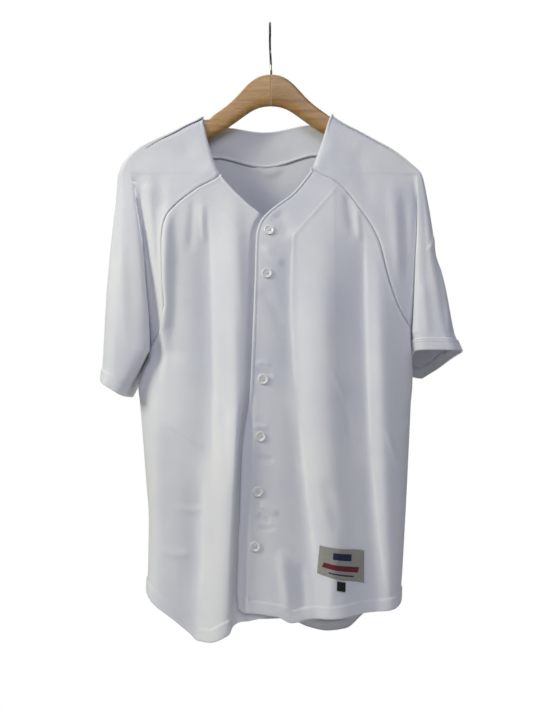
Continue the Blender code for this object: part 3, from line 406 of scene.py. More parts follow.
def front_grid(side, columns):
    """Rows of one front from its top to the hem, from the seam to the front edge."""
    s = SIDES[side]
    arm = s["armpit"]
    band = list(1.0 - (HEM_BAND - BAND_STEPS) / FRONT_BELOW)
    jobs = [(z, z, float(along(s["seam"], "z", "front", z))) for z in levels(side)[1]]
    for v in list(BODY_STEPS) + band:
        jobs.append(((lambda x, v=v: arm + (along(s["hem"], "x", "z", x) - arm) * v), arm + (-900.0 - arm) * v, None))
    rows = []
    for level, z, first in jobs:
        line, last = front_edge(side, level, first, z)
        begin = face_line(side, z, line[0, 0], last)
        inner = None
        if side == "right":
            inner = min(float(along(NECK_LEFT, "z", "edge", z)) - 1.5, last - 3.0)
            begin = min(begin, inner - 0.4 * abs(inner - line[0, 0]))
        rows.append(spread(line, columns, SEAM_GAP * 0.7, 0.0, (begin, inner, False)))
    grid = np.array(rows)
    if side == "right":
        edge = along(NECK_LEFT, "z", "edge", grid[..., 2])
        grid[..., 1] += UNDERLAP * ease((grid[..., 0] - edge + 10.0) / 8.0) * (grid[..., 2] < OVERLAP_TOP)
    return grid


def front_edge(side, level, first, z):
    """Section of a front between its seam or side and its neck or front edge, and where that edge is."""
    base, pts = whole("front", level)
    last = float(along(SIDES[side]["neck"], "z", "edge", z))
    if first is not None and abs(last - first) < 5.0:
        last = first - 5.0 * SIDES[side]["sign"]
    start = base[0 if side == "right" else -1] if first is None else first
    return cut(base, pts, start, last), last


def back_grid(columns):
    """Rows of the back from the neck to the hem, from the wearer's right to the left."""
    r, l = SIDES["right"], SIDES["left"]
    rows = []
    zr = [z for part in levels("right") for z in part]
    zl = [z for part in levels("left") for z in part]
    pairs = [(a, b) for a, b in zip(zr, zl) if a < r["back_z"] + 0.5]
    pairs[0] = (r["back_z"], l["back_z"])
    for j, (a, b) in enumerate(pairs):
        xa, xb = float(along(SEAM_RIGHT, "z", "back", a)), float(along(SEAM_LEFT, "z", "back", b))
        dip = NECK_DIP * (1 - ease(j / 5.0))

        def level(x, a=a, b=b, xa=xa, xb=xb, dip=dip):
            t = np.clip((x - xa) / (xb - xa), 0.0, 1.0)
            return a + (b - a) * t - dip * np.sin(np.pi * t) ** 2

        rows.append(back_row(whole_back(level, xa, xb), columns, a))
    band = list(1.0 - (HEM_BAND - BAND_STEPS) / BACK_BELOW)
    for v in list(BODY_STEPS) + band:

        def level(x, v=v):
            t = np.clip((x + 187.5) / (216.0 + 187.5), 0.0, 1.0)
            arm = r["armpit"] + (l["armpit"] - r["armpit"]) * t
            return arm + (along(HEM_BACK, "x", "z", x) - arm) * v

        rows.append(back_row(whole_back(level, None, None), columns, -700.0))
    return np.array(rows)


def back_row(line, columns, z):
    """Points of one row of the back, its flanks apart."""
    a, b = line[0, 0], line[-1, 0]
    lines = (face_line("right", z, a, 0.5 * (a + b)), face_line("left", z, b, 0.5 * (a + b)), True)
    return spread(line, columns, SEAM_GAP * 0.7, SEAM_GAP * 0.7, lines)


def whole(face, level):
    """Body section from the right side over the middle to the left."""
    base_r, right = body_half("right", face, level)
    base_l, left = body_half("left", face, level)
    return np.concatenate([base_r, base_l[::-1][1:]]), np.vstack([right, left[::-1][1:]])


def whole_back(level, xa, xb):
    """Back section from the right seam or side to the left one."""
    base, pts = whole("back", level)
    return cut(base, pts, base[0] if xa is None else xa, base[-1] if xb is None else xb)


def sleeve_grid(side, cells):
    """Rows of a sleeve from the neck to the cuff, around from the front seam over the outer edge to the back."""
    s = SIDES[side]
    sign = s["sign"]
    up, down = levels(side)
    rows = []
    for z in up + down[:-1]:
        halves = []
        for face in ("front", "back"):
            runs = sleeve_half(side, face, z)
            inner, lengths = thinned(np.vstack([runs[0], runs[1][1:]]))
            first = float(np.linalg.norm(np.diff(runs[0], axis=0), axis=1).sum())
            apart = np.concatenate([np.linspace(SEAM_GAP * 0.7, first, cells[0] + 1),
                                    np.linspace(first, lengths[-1], cells[1] + 1)[1:]])
            even = np.linspace(SEAM_GAP * 0.7, lengths[-1], cells[0] + cells[1] + 1)
            share = float(ease((s["armpit"] + 90.0 - z) / 90.0))
            halves.append(np.vstack([sampled(inner, lengths, apart * (1 - share) + even * share),
                                     spread(runs[2], cells[2])[1:]]))
        rows.append(join_halves(halves))
    open_rows = len(rows)
    c = {name: column[s["cuff"]] for name, column in CUFF.items()}
    foot0 = float(along(SIDE, "z", side, s["armpit"])) + sign * 0.5
    rim0 = float(along(EDGE, "z", side, s["armpit"]))
    tall = abs(c["outer_z"] - s["armpit"]) + 25.0
    for v in [0.0] + list(CUFF_STEPS * (1.0 - 20.5 / tall) / 0.72) + list(1.0 - (HEM_BAND - BAND_STEPS) / tall):
        foot = foot0 + (c["inner_x"] - foot0) * v
        rim = rim0 + (c["outer_x"] - rim0) * v
        halves = []
        for face in ("front", "back"):
            runs = sleeve_half(side, face, s["armpit"] - 20.0 * v, foot, rim, 1.0 - v)
            first = np.vstack([runs[0][:1]] * 2)
            first[0, 1] = first[0, 1] * 0.0
            inner = spread(np.vstack([first, runs[0]]), cells[0] + cells[1])
            halves.append(np.vstack([inner, spread(runs[1], cells[2])[1:]]))
        row = join_halves(halves)
        m = np.clip((row[:, 0] - rim) / (foot - rim), 0.0, 1.0)
        line = s["armpit"] + ((c["outer_z"] + (c["inner_z"] - c["outer_z"]) * m) - s["armpit"]) * v
        reach = (1 + row[:, 1] / np.abs(row[:, 1]).max()) / 2
        row[:, 2] = line - v * c["back_lower"] * reach**2 * (0.25 + 0.75 * np.minimum(1.5 * m, 1.0))
        rows.append(row)
    return np.array(rows), open_rows


def join_halves(halves):
    """Front half and back half of a sleeve's row as one round, both running the same way."""
    back = halves[1][::-1].copy()
    back[:, 3:] *= -1.0
    row = np.vstack([halves[0], back[1:]])
    row[len(halves[0]) - 1, 3:] = (0.0, 1.0, 0.0)
    return row


def normals(grid):
    """Outward directions of a grid's points, from the direction along the row and the step between rows."""
    n = np.cross(grid[..., 3:], np.gradient(grid[..., :3], axis=0))
    return n / (np.linalg.norm(n, axis=2, keepdims=True) + 1e-12)


# creases on the front, mm: three points each, half width to the left and right of the line, rise
CREASES = table("x0 z0 x1 z1 x2 z2 low high rise", [
    (-156, -300, -161, -430, -157, -590, 6, 9, 2.5),
    (-100, -275, -92, -440, -86, -670, 22, 6, -2.6),
    (-118, -270, -120, -320, -124, -370, 6, 8, -1.6),
    (-104, -282, -104, -320, -100, -352, 4, 5, 1.3),
    (-82, -560, -74, -640, -70, -700, 8, 5, 1.6),
    (-106, -690, -104, -790, -110, -880, 20, 6, -2.8),
    (-168, -612, -126, -638, -84, -668, 5, 9, 1.1),
    (-58, -410, -52, -560, -58, -690, 9, 7, 1.6),
    (-150, -740, -120, -748, -96, -742, 6, 5, 0.8),
    (-170, -800, -140, -812, -112, -806, 6, 6, 0.9),
    (32, -335, 29, -460, 38, -600, 16, 2.6, -1.6),
    (38, -590, 50, -720, 68, -862, 16, 3, -2.2),
    (141, -300, 141, -480, 146, -680, 18, 2.6, -2),
    (146, -660, 154, -765, 168, -880, 16, 3.4, -2),
    (116, -262, 120, -300, 126, -345, 7, 9, -1.7),
    (130, -290, 132, -320, 134, -352, 4, 4, 1.1),
    (84, -540, 98, -563, 110, -590, 3, 6, 0.9),
    (100, -575, 112, -610, 118, -650, 5, 6, -0.9),
    (166, -625, 179, -659, 190, -694, 3.5, 6, 1),
    (72, -700, 88, -740, 96, -790, 8, 10, -1.5),
    (-24, -534, -12, -531, 2, -537, 3, 4, 1),
    (-24, -545, -10, -546, 4, -552, 3, 4, -0.8),
    (-28, -626, -16, -625, -2, -630, 3, 4, 1),
    (-22, -664, -8, -672, 8, -670, 5, 5, -1.1),
    (-18, -736, -4, -745, 10, -755, 3, 7, 1.6),
    (-24, -752, -12, -760, 2, -762, 4, 5, -1.4),
    (-22, -771, -8, -773, 8, -772, 3.5, 3.5, -1.1),
    (6, -300, 18, -318, 30, -345, 10, 10, -1.8),
    (-14, -350, 2, -372, 22, -384, 6, 9, 1.3),
    (-20, -420, 0, -440, 16, -480, 8, 9, -1),
    (96, -800, 88, -850, 84, -900, 6, 8, 1.3),
    (14, -800, 20, -850, 26, -905, 8, 10, 2.4),
    (40, -820, 46, -860, 48, -900, 8, 8, -2)])

# creases on the back, of the same kind
BACK_CREASES = table("x0 z0 x1 z1 x2 z2 low high rise", [
    (-120, -250, -90, -330, -96, -470, 18, 9, -2.2),
    (110, -250, 84, -340, 92, -500, 9, 18, -2.2),
    (-60, -520, -64, -660, -82, -820, 8, 20, 2.4),
    (40, -480, 46, -640, 38, -880, 18, 8, 2.4),
    (120, -560, 128, -700, 146, -860, 10, 16, -2.2),
    (-140, -600, -146, -720, -150, -850, 14, 8, -2),
    (-30, -200, -6, -226, 26, -206, 8, 14, -1.6),
    (-150, -540, -120, -565, -84, -572, 6, 8, 1.2),
    (170, -520, 136, -548, 104, -552, 6, 8, 1.2),
    (-10, -700, -14, -800, -12, -900, 12, 12, -2)])

# creases on the sleeves, front and back, wearer's right and left
SLEEVE_CREASES = table("x0 z0 x1 z1 x2 z2 low high rise", [
    (-212, -226, -196, -330, -176, -500, 5, 9, -2.2),
    (-190, -232, -180, -320, -172, -430, 7, 4, 1.4),
    (-206, -232, -200, -250, -188, -258, 7, 6, -1.5),
    (-228, -330, -222, -420, -216, -520, 8, 8, 1.4),
    (-150, -190, -120, -214, -96, -236, 14, 12, -1.5),
    (-176, -220, -168, -270, -166, -310, 8, 8, -1.4),
    (130, -190, 142, -240, 152, -300, 14, 12, -1.3),
    (186, -236, 190, -330, 196, -430, 8, 12, 1.8),
    (204, -250, 206, -340, 204, -420, 9, 5, -2),
    (252, -330, 246, -348, 236, -360, 2.5, 6, 1),
    (256, -360, 262, -420, 268, -500, 3, 8, 2),
    (228, -400, 232, -450, 236, -505, 6, 6, 1.2),
    (100, -180, 78, -216, 66, -232, 10, 8, 0.8)])

# lower edge of the facing inside the fronts and sleeves, felt through the cloth
FACING_LINES = ([(-112.8, -265.5), (-74.2, -301.6), (-42.2, -338.5)],
                [(138.0, -184.6), (107.1, -253.5), (34.6, -337.7)],
                [(34.6, -337.7), (29.8, -406.6), (29.6, -481.9)])


def crease_field(rows, x, z):
    """Sum of the creases: a bell across each line through three points, wider on one side, faded at its ends."""
    total = np.zeros(x.shape)
    t = np.linspace(0.0, 1.0, 21)
    for x0, z0, x1, z1, x2, z2, low, high, rise in zip(*rows.values()):
        lx, lz = bend(x0, x1, x2, t), bend(z0, z1, z2, t)
        reach = 2.6 * max(low, high)
        near = (x > lx.min() - reach) & (x < lx.max() + reach) & (z > lz.min() - reach) & (z < lz.max() + reach)
        if not near.any():
            continue
        d, way, share = line_distance(x[near], z[near], lx, lz)
        wide = np.where(way < 0, low, high)
        fade = ease(share / 0.3) * ease((1 - share) / 0.3)
        total[near] += CREASE_DEPTH * rise * np.exp(-((d / wide) ** 2)) * fade
    return total


def line_distance(px, pz, lx, lz):
    """Distance from points to a line of segments, the side they lie on, and the share of the way along."""
    bx, bz = np.diff(lx), np.diff(lz)
    size = bx * bx + bz * bz + 1e-12
    k = np.clip(((px[:, None] - lx[:-1]) * bx + (pz[:, None] - lz[:-1]) * bz) / size, 0.0, 1.0)
    qx, qz = px[:, None] - lx[:-1] - k * bx, pz[:, None] - lz[:-1] - k * bz
    d2 = qx * qx + qz * qz
    i = np.argmin(d2, axis=1)
    pick = np.arange(len(px))
    way = np.sign(bx[i] * qz[pick, i] - bz[i] * qx[pick, i])
    return np.sqrt(d2[pick, i]), way, (i + k[pick, i]) / len(bx)


def edge_distance(grid, line, reach=14.0):
    """Distance in space from a grid's points to an edge line, for points nearer than the reach."""
    shape = grid.shape[:2]
    points = grid[..., :3].reshape(-1, 3)
    out = np.full(len(points), 99.0)
    a, b = line[:-1, :3], np.diff(line[:, :3], axis=0)
    size = (b * b).sum(1) + 1e-12
    for start in range(0, len(points), 4000):
        p = points[start:start + 4000]
        low, high = p.min(0) - reach, p.max(0) + reach
        use = ((a > low) & (a < high)).all(1)
        if not use.any():
            continue
        gap = p[:, None] - a[use]
        k = np.clip((gap * b[use]).sum(2) / size[use], 0.0, 1.0)
        d = np.linalg.norm(gap - k[..., None] * b[use], axis=2)
        out[start:start + 4000] = d.min(1)
    return out.reshape(shape)


def bell(d, at, wide):
    """Bell curve across a distance."""
    return np.exp(-(((d - at) / wide) ** 2))


def surface_normals(points, closed_from=None):
    """Unit directions square to a grid, from steps along and across the rows; closed rows wrap round."""
    du = np.gradient(points, axis=1)
    if closed_from is not None:
        wrap = 0.5 * (points[closed_from:, 1] - points[closed_from:, -2])
        du[closed_from:, 0] = wrap
        du[closed_from:, -1] = wrap
    n = np.cross(du, np.gradient(points, axis=0))
    return n / (np.linalg.norm(n, axis=2, keepdims=True) + 1e-12)


def linked(name, mesh, slot):
    """Object of a mesh, in the scene, with its material."""
    obj = bpy.data.objects.new(name, mesh)
    bpy.context.scene.collection.objects.link(obj)
    mesh.materials.append(slot)
    return obj


def lengths_along(points, axis):
    """Length in mm along a grid's rows or columns up to each of its points."""
    step = np.cumsum(np.linalg.norm(np.diff(points, axis=axis), axis=2), axis=axis)
    return np.concatenate([np.zeros_like(np.take(step, [0], axis)), step], axis)


def mesh_from(name, verts, quads, slot, uv=None):
    """Smooth shaded object from arrays of points in mm and of quads."""
    mesh = bpy.data.meshes.new(name)
    mesh.vertices.add(len(verts))
    mesh.vertices.foreach_set("co", (np.asarray(verts) * 0.001).astype(np.float32).ravel())
    width = quads.shape[1]
    mesh.loops.add(quads.size)
    mesh.loops.foreach_set("vertex_index", quads.astype(np.int32).ravel())
    mesh.polygons.add(len(quads))
    mesh.polygons.foreach_set("loop_start", np.arange(0, quads.size, width, dtype=np.int32))
    mesh.polygons.foreach_set("use_smooth", np.ones(len(quads), bool))
    if uv is not None:
        layer = mesh.uv_layers.new(name="cut")
        layer.data.foreach_set("uv", uv[quads.ravel()].astype(np.float32).ravel())
    mesh.update(calc_edges=True)
    mesh.validate()
    return linked(name, mesh, slot)


def cloth(name, points, way, wall, slot, closed_from=None, half=0):
    """Thin closed cloth: the outer points and the same points moved in by the wall, joined at the open edges.
    The cut attribute holds the lengths along and across the rows in mm."""
    rows, cols = points.shape[:2]
    n = surface_normals(points, closed_from) * way
    inner = points - n * np.broadcast_to(wall, (rows, cols))[..., None]
    if half:
        inner[..., 1] = half * np.maximum(half * inner[..., 1], 0.12)
    index = np.arange(rows * cols).reshape(rows, cols)
    if closed_from is not None:
        index[closed_from:, -1] = index[closed_from:, 0]
    total = rows * cols
    a, b, c, d = index[:-1, :-1], index[:-1, 1:], index[1:, 1:], index[1:, :-1]
    outer = np.stack([a, b, c, d], -1).reshape(-1, 4)
    last = rows - 1 if closed_from is None else closed_from
    loop = [(index[0, k], index[0, k + 1]) for k in range(cols - 1)]
    loop += [(index[k, -1], index[k + 1, -1]) for k in range(last)]
    loop += [(index[-1, k + 1], index[-1, k]) for k in range(cols - 1)]
    loop += [(index[k + 1, 0], index[k, 0]) for k in range(last)]
    rim = np.array([(q, p, p + total, q + total) for p, q in loop])
    quads = np.vstack([outer, outer[:, ::-1] + total, rim])
    if way < 0:
        quads = quads[:, ::-1]
    u, v = lengths_along(points, 1), lengths_along(points, 0)
    u = u - u[:, cols // 2][:, None]
    uv = np.stack([u, -v], -1).reshape(-1, 2)
    verts = np.vstack([points.reshape(-1, 3), inner.reshape(-1, 3)])
    used = np.unique(quads)
    remap = np.zeros(2 * total, int)
    remap[used] = np.arange(len(used))
    return mesh_from(name, verts[used], remap[quads], slot, np.vstack([uv, uv])[used])


def contour(points, n, d, at, axis):
    """Line of points, with directions, where a distance field first passes a value, from the end of each row
    or column."""
    if axis == 0:
        points, n, d = points.transpose(1, 0, 2), n.transpose(1, 0, 2), d.T
    out = []
    for p, m, q in zip(points, n, d):
        p, m, q = p[::-1], m[::-1], q[::-1]
        hit = np.nonzero((q[:-1] <= at) & (q[1:] > at))[0]
        if len(hit):
            k = hit[0]
            f = (at - q[k]) / (q[k + 1] - q[k])
            out.append(np.concatenate([p[k] * (1 - f) + p[k + 1] * f, m[k] * (1 - f) + m[k + 1] * f]))
    return np.array(out)


def stitches(name, lines, slot, pitch=3.2, long=2.3, thick=0.34):
    """Sewing thread: one short raised bar per stitch, a five-sided bar arched along its length."""
    bars = []
    for line in lines:
        if len(line) < 3:
            continue
        step = np.linalg.norm(np.diff(line[:, :3], axis=0), axis=1)
        s = np.concatenate([[0.0], np.cumsum(step)])
        q = np.arange(pitch, s[-1] - pitch, pitch)
        both = np.column_stack([np.interp(q, s, line[:, k]) for k in range(6)])
        ahead = np.column_stack([np.interp(q + 1.0, s, line[:, k]) - np.interp(q - 1.0, s, line[:, k])
                                 for k in range(3)])
        ahead /= np.linalg.norm(ahead, axis=1, keepdims=True) + 1e-12
        up = both[:, 3:] / (np.linalg.norm(both[:, 3:], axis=1, keepdims=True) + 1e-12)
        bars.append(np.concatenate([both[:, :3], ahead, up], 1))
    bars = np.vstack(bars)
    side = np.cross(bars[:, 3:6], bars[:, 6:9])
    ring = np.linspace(0, 2 * np.pi, 5, endpoint=False)
    rings = []
    for t, r in ((-1.0, 0.25), (-0.6, 0.9), (0.0, 1.0), (0.6, 0.9), (1.0, 0.25)):
        centre = bars[:, :3] + bars[:, 3:6] * (0.5 * long * t) + bars[:, 6:9] * (thick * (0.35 * (1 - t * t) - 0.1))
        rings.append(centre[:, None] + thick * r * (np.cos(ring)[None, :, None] * side[:, None]
                                                     + np.sin(ring)[None, :, None] * bars[:, None, 6:9]))
    verts = np.stack(rings, 1)
    count = len(bars)
    base = (np.arange(count) * 25)[:, None]
    quads = []
    for r in range(4):
        for k in range(5):
            a, b = r * 5 + k, r * 5 + (k + 1) % 5
            quads.append(np.array([a + 5, b + 5, b, a]) + base)
    return mesh_from(name, verts.reshape(-1, 3), np.vstack(quads), slot)


def tube(name, rings, slot):
    """Closed surface from rings of points, its ends drawn together at their middles."""
    count, sides = rings.shape[:2]
    verts = np.vstack([rings.reshape(-1, 3), rings[0].mean(0), rings[-1].mean(0)])
    index = np.arange(count * sides).reshape(count, sides)
    nxt = np.roll(index, -1, axis=1)
    quads = np.stack([index[:-1], nxt[:-1], nxt[1:], index[1:]], -1).reshape(-1, 4)
    start = np.stack([nxt[0], index[0], np.full(sides, count * sides), np.full(sides, count * sides)], -1)
    end = np.stack([index[-1], nxt[-1], np.full(sides, count * sides + 1), np.full(sides, count * sides + 1)], -1)
    faces = [list(q) for q in quads] + [list(q[:3]) for q in start] + [list(q[:3]) for q in end]
    volume = np.einsum("ij,ij->i", verts[quads[:, 0]], np.cross(verts[quads[:, 1]], verts[quads[:, 2]])
                       + np.cross(verts[quads[:, 2]], verts[quads[:, 3]])).sum()
    if volume < 0:
        faces = [q[::-1] for q in faces]
    mesh = bpy.data.meshes.new(name)
    mesh.from_pydata((verts * 0.001).tolist(), [], faces)
    mesh.polygons.foreach_set("use_smooth", np.ones(len(mesh.polygons), bool))
    mesh.update()
    return linked(name, mesh, slot)


def at_grid(grid, i, j):
    """Point of a grid at fractional row i and column j."""
    r, c = grid.shape[:2]
    i0 = np.clip(np.floor(i).astype(int), 0, r - 2)
    j0 = np.clip(np.floor(j).astype(int), 0, c - 2)
    fi, fj = (i - i0)[..., None], (j - j0)[..., None]
    return ((grid[i0, j0] * (1 - fi) + grid[i0 + 1, j0] * fi) * (1 - fj)
            + (grid[i0, j0 + 1] * (1 - fi) + grid[i0 + 1, j0 + 1] * fi) * fj)


def place(grid, x, z):
    """Fractional row and column of a grid whose point lies at a distance sideways and a height."""
    r, c = grid.shape[:2]
    best = np.argmin((grid[..., 0] - x) ** 2 + (grid[..., 2] - z) ** 2)
    i, j = float(best // c), float(best % c)
    for _ in range(8):
        p = at_grid(grid, np.array(i), np.array(j))
        i2, j2 = min(i + 0.5, r - 1.0), min(j + 0.5, c - 1.0)
        di = (at_grid(grid, np.array(i2), np.array(j)) - at_grid(grid, np.array(i2 - 1.0), np.array(j)))
        dj = (at_grid(grid, np.array(i), np.array(j2)) - at_grid(grid, np.array(i), np.array(j2 - 1.0)))
        jac = np.array([[di[0], dj[0]], [di[2], dj[2]]])
        step = np.linalg.solve(jac + 1e-9 * np.eye(2), np.array([x - p[0], z - p[2]]))
        i = float(np.clip(i + np.clip(step[0], -3, 3), 0, r - 1))
        j = float(np.clip(j + np.clip(step[1], -3, 3), 0, c - 1))
    return i, j


def node(tree, kind, inputs=None, **settings):
    """Adds one node to a material, with its settings and the values or links of its inputs."""
    made = tree.nodes.new(kind)
    for key, value in settings.items():
        setattr(made, key, value)
    for key, value in (inputs or {}).items():
        if isinstance(value, bpy.types.NodeSocket):
            tree.links.new(value, made.inputs[key])
        else:
            made.inputs[key].default_value = value
    return made


def linear(code):
    """Linear colour with alpha from an sRGB hex code."""
    parts = [int(code[k:k + 2], 16) / 255 for k in (0, 2, 4)]
    return [p / 12.92 if p <= 0.04045 else ((p + 0.055) / 1.055) ** 2.4 for p in parts] + [1.0]


def material(name, **values):
    """New material with a principled shader whose uniform sockets are set directly."""
    made = bpy.data.materials.new(name)
    made.use_nodes = True
    shader = made.node_tree.nodes["Principled BSDF"]
    for key, value in values.items():
        shader.inputs[key.replace("_", " ")].default_value = value
    return made, made.node_tree, shader


def ramp(tree, factor, *stops):
    """Colour ramp over a factor, from (position, hex) pairs."""
    made = node(tree, "ShaderNodeValToRGB", {"Fac": factor})
    cells = made.color_ramp.elements
    while len(cells) < len(stops):
        cells.new(0.5)
    for cell, (position, code) in zip(cells, stops):
        cell.position, cell.color = position, linear(code)
    return made.outputs["Color"]


def knit_material(name, light, shade):
    """White warp-knit polyester: matt, a fine vertical rib of 0.9 mm, soft unevenness, faint cooler patches."""
    made, tree, shader = material(name, Roughness=0.86, Sheen_Weight=0.12, Sheen_Roughness=0.5, Specular_IOR_Level=0.25)
    cut = node(tree, "ShaderNodeUVMap", uv_map="cut").outputs["UV"]
    place_at = node(tree, "ShaderNodeTexCoord").outputs["Object"]
    patches = node(tree, "ShaderNodeTexNoise", {"Vector": place_at, "Scale": 9.0, "Detail": 3.0, "Roughness": 0.55})
    tint = ramp(tree, patches.outputs["Fac"], (0.36, shade), (0.66, light))
    tree.links.new(tint, shader.inputs["Base Color"])
    split = node(tree, "ShaderNodeSeparateXYZ", {"Vector": cut})
    wale = node(tree, "ShaderNodeMath", {0: split.outputs["X"], 1: 2 * math.pi / 0.9}, operation="MULTIPLY")
    course = node(tree, "ShaderNodeMath", {0: split.outputs["Y"], 1: 2 * math.pi / 1.2}, operation="MULTIPLY")
    wales = node(tree, "ShaderNodeMath", {0: wale.outputs[0]}, operation="SINE")
    courses = node(tree, "ShaderNodeMath", {0: course.outputs[0]}, operation="SINE")
    knit = node(tree, "ShaderNodeMath", {0: courses.outputs[0], 1: 0.35, 2: wales.outputs[0]}, operation="MULTIPLY_ADD")
    soft = node(tree, "ShaderNodeTexNoise", {"Vector": place_at, "Scale": 55.0, "Detail": 4.0, "Roughness": 0.6})
    rib = node(tree, "ShaderNodeBump", {"Height": knit.outputs[0], "Strength": 0.35, "Distance": 0.00009})
    wave = node(tree, "ShaderNodeBump", {"Height": soft.outputs["Fac"], "Strength": 0.35, "Distance": 0.0016,
                                         "Normal": rib.outputs["Normal"]})
    tree.links.new(wave.outputs["Normal"], shader.inputs["Normal"])
    return made


def wood_material(name, light, dark, turn):
    """Clear lacquered beech: fine streaks along the half's length, short dark pores, a soft gloss."""
    made, tree, shader = material(name, Roughness=0.42, Coat_Weight=0.25, Coat_Roughness=0.3)
    place_at = node(tree, "ShaderNodeTexCoord").outputs["Object"]
    lay = node(tree, "ShaderNodeMapping", {"Vector": place_at, "Rotation": (0.0, turn, 0.0),
                                           "Scale": (9.0, 130.0, 150.0)})
    streak = node(tree, "ShaderNodeTexNoise", {"Vector": lay.outputs[0], "Scale": 1.0, "Detail": 5.0, "Roughness": 0.6})
    tint = ramp(tree, streak.outputs["Fac"], (0.3, dark), (0.7, light))
    fine = node(tree, "ShaderNodeMapping", {"Vector": place_at, "Rotation": (0.0, turn, 0.0),
                                            "Scale": (60.0, 900.0, 1100.0)})
    pores = node(tree, "ShaderNodeTexNoise", {"Vector": fine.outputs[0], "Scale": 1.0, "Detail": 2.0})
    dots = ramp(tree, pores.outputs["Fac"], (0.32, "b08a5c"), (0.42, "ffffff"))
    mixed = node(tree, "ShaderNodeMix", {0: 0.55, 6: tint, 7: dots}, data_type="RGBA", blend_type="MULTIPLY")
    tree.links.new(mixed.outputs[2], shader.inputs["Base Color"])
    grain = node(tree, "ShaderNodeBump", {"Height": pores.outputs["Fac"], "Strength": 0.2, "Distance": 0.0003})
    tree.links.new(grain.outputs["Normal"], shader.inputs["Normal"])
    return made


def woven_material(name, light, dark):
    """Woven badge cloth with a slight satin sheen: crossing bands 1.8 mm apart, coarser than real threads so that
    they show."""
    weave = 1100.0 / 6.28
    made, tree, shader = material(name, Roughness=0.6, Sheen_Weight=0.2, Specular_IOR_Level=0.3)
    place_at = node(tree, "ShaderNodeTexCoord").outputs["Object"]
    across = node(tree, "ShaderNodeTexWave", {"Vector": place_at, "Scale": weave, "Distortion": 0.6},
                  bands_direction="X")
    down = node(tree, "ShaderNodeTexWave", {"Vector": place_at, "Scale": weave, "Distortion": 0.6},
                bands_direction="Z")
    both = node(tree, "ShaderNodeMath", {0: across.outputs["Fac"], 1: down.outputs["Fac"]}, operation="ADD")
    half = node(tree, "ShaderNodeMath", {0: both.outputs[0], 1: 0.5}, operation="MULTIPLY")
    tree.links.new(ramp(tree, half.outputs[0], (0.2, dark), (0.8, light)), shader.inputs["Base Color"])
    raise_by = node(tree, "ShaderNodeBump", {"Height": half.outputs[0], "Strength": 0.4, "Distance": 0.0002})
    tree.links.new(raise_by.outputs["Normal"], shader.inputs["Normal"])
    return made


def steel_material(name):
    """Dark plated steel wire: brushed grey with duller patches, bare and pale near the wood."""
    made, tree, shader = material(name, Metallic=1.0)
    place_at = node(tree, "ShaderNodeTexCoord").outputs["Object"]
    dull = node(tree, "ShaderNodeTexNoise", {"Vector": place_at, "Scale": 240.0, "Detail": 3.0})
    height = node(tree, "ShaderNodeSeparateXYZ", {"Vector": place_at}).outputs["Z"]
    bare = node(tree, "ShaderNodeMapRange", {"Value": height, "From Min": -0.0655, "From Max": -0.0615,
                                             "To Min": 1.0, "To Max": 0.0})
    plated = ramp(tree, dull.outputs["Fac"], (0.3, "2a2826"), (0.7, "4c4844"))
    both = node(tree, "ShaderNodeMix", {0: bare.outputs["Result"], 6: plated, 7: linear("b9b6ae")}, data_type="RGBA")
    tree.links.new(both.outputs[2], shader.inputs["Base Color"])
    rough = node(tree, "ShaderNodeMapRange", {"Value": dull.outputs["Fac"], "To Min": 0.28, "To Max": 0.5})
    tree.links.new(rough.outputs["Result"], shader.inputs["Roughness"])
    return made


def resin_material(name):
    """White cast resin: smooth, a touch of light through it, faint cloudy warmth."""
    made, tree, shader = material(name, Roughness=0.28, Subsurface_Weight=0.08, Coat_Weight=0.3)
    place_at = node(tree, "ShaderNodeTexCoord").outputs["Object"]
    cloud = node(tree, "ShaderNodeTexNoise", {"Vector": place_at, "Scale": 300.0, "Detail": 2.0})
    tree.links.new(ramp(tree, cloud.outputs["Fac"], (0.3, "e6e6e2"), (0.7, "f2f2ee")), shader.inputs["Base Color"])
    return made


def thread_material(name, light, dark):
    """Polyester sewing thread: twisted, slightly glossy, a little brighter than the cloth."""
    made, tree, shader = material(name, Roughness=0.55, Sheen_Weight=0.15)
    place_at = node(tree, "ShaderNodeTexCoord").outputs["Object"]
    twist = node(tree, "ShaderNodeTexNoise", {"Vector": place_at, "Scale": 1500.0, "Detail": 1.0})
    tree.links.new(ramp(tree, twist.outputs["Fac"], (0.35, dark), (0.65, light)), shader.inputs["Base Color"])
    return made


CLOTH_LOOK = knit_material("white warp-knit polyester", "e4e5e8", "dcdee6")
THREAD = thread_material("white polyester sewing thread", "eeeef0", "d4d5da")
# one beech in two copies: the right half's colours are painted lighter, as painted light from the key on the wearer's
# right, and the left half's are painted darker, as painted shade; the streaks and pores in each are the wood's own
# grain
WOOD_RIGHT_PAINTED_LIT = wood_material("clear lacquered beech, right half with painted light", "c49c60", "a57c45", math.radians(30.0))
WOOD_LEFT_PAINTED_SHADE = wood_material("clear lacquered beech, left half with painted shade", "bb9257", "98703c", math.radians(-30.0))
STEEL = steel_material("dark plated steel wire")
RESIN = resin_material("white cast resin")
LABEL = woven_material("grey-beige woven damask", "a9a79f", "82807a")
NAVY = woven_material("navy woven damask", "232a52", "12163a")
MAROON = woven_material("maroon woven damask", "7a2430", "50141e")
TAB = woven_material("black woven tape", "1c1c20", "08080a")


def push_out(grid, way, amount):
    """Grid points moved outward, square to the surface under them."""
    return grid[..., :3] + normals(grid) * way * amount[..., None]


def seam_line(d):
    """Rise beside a raglan seam: drawn in at the seam, a soft swell behind it."""
    return -0.9 * bell(d, 0.0, 1.1) + 0.5 * bell(d, 3.4, 1.8)


def rolled_edge(d, bead, drawn, stitched):
    """Rise at a rolled edge: a bead, the edge itself drawn in, a line where it is stitched."""
    return bead * bell(d, 1.9, 1.5) - drawn * bell(d, 0.0, 0.9) - stitched * bell(d, 5.0, 1.0)


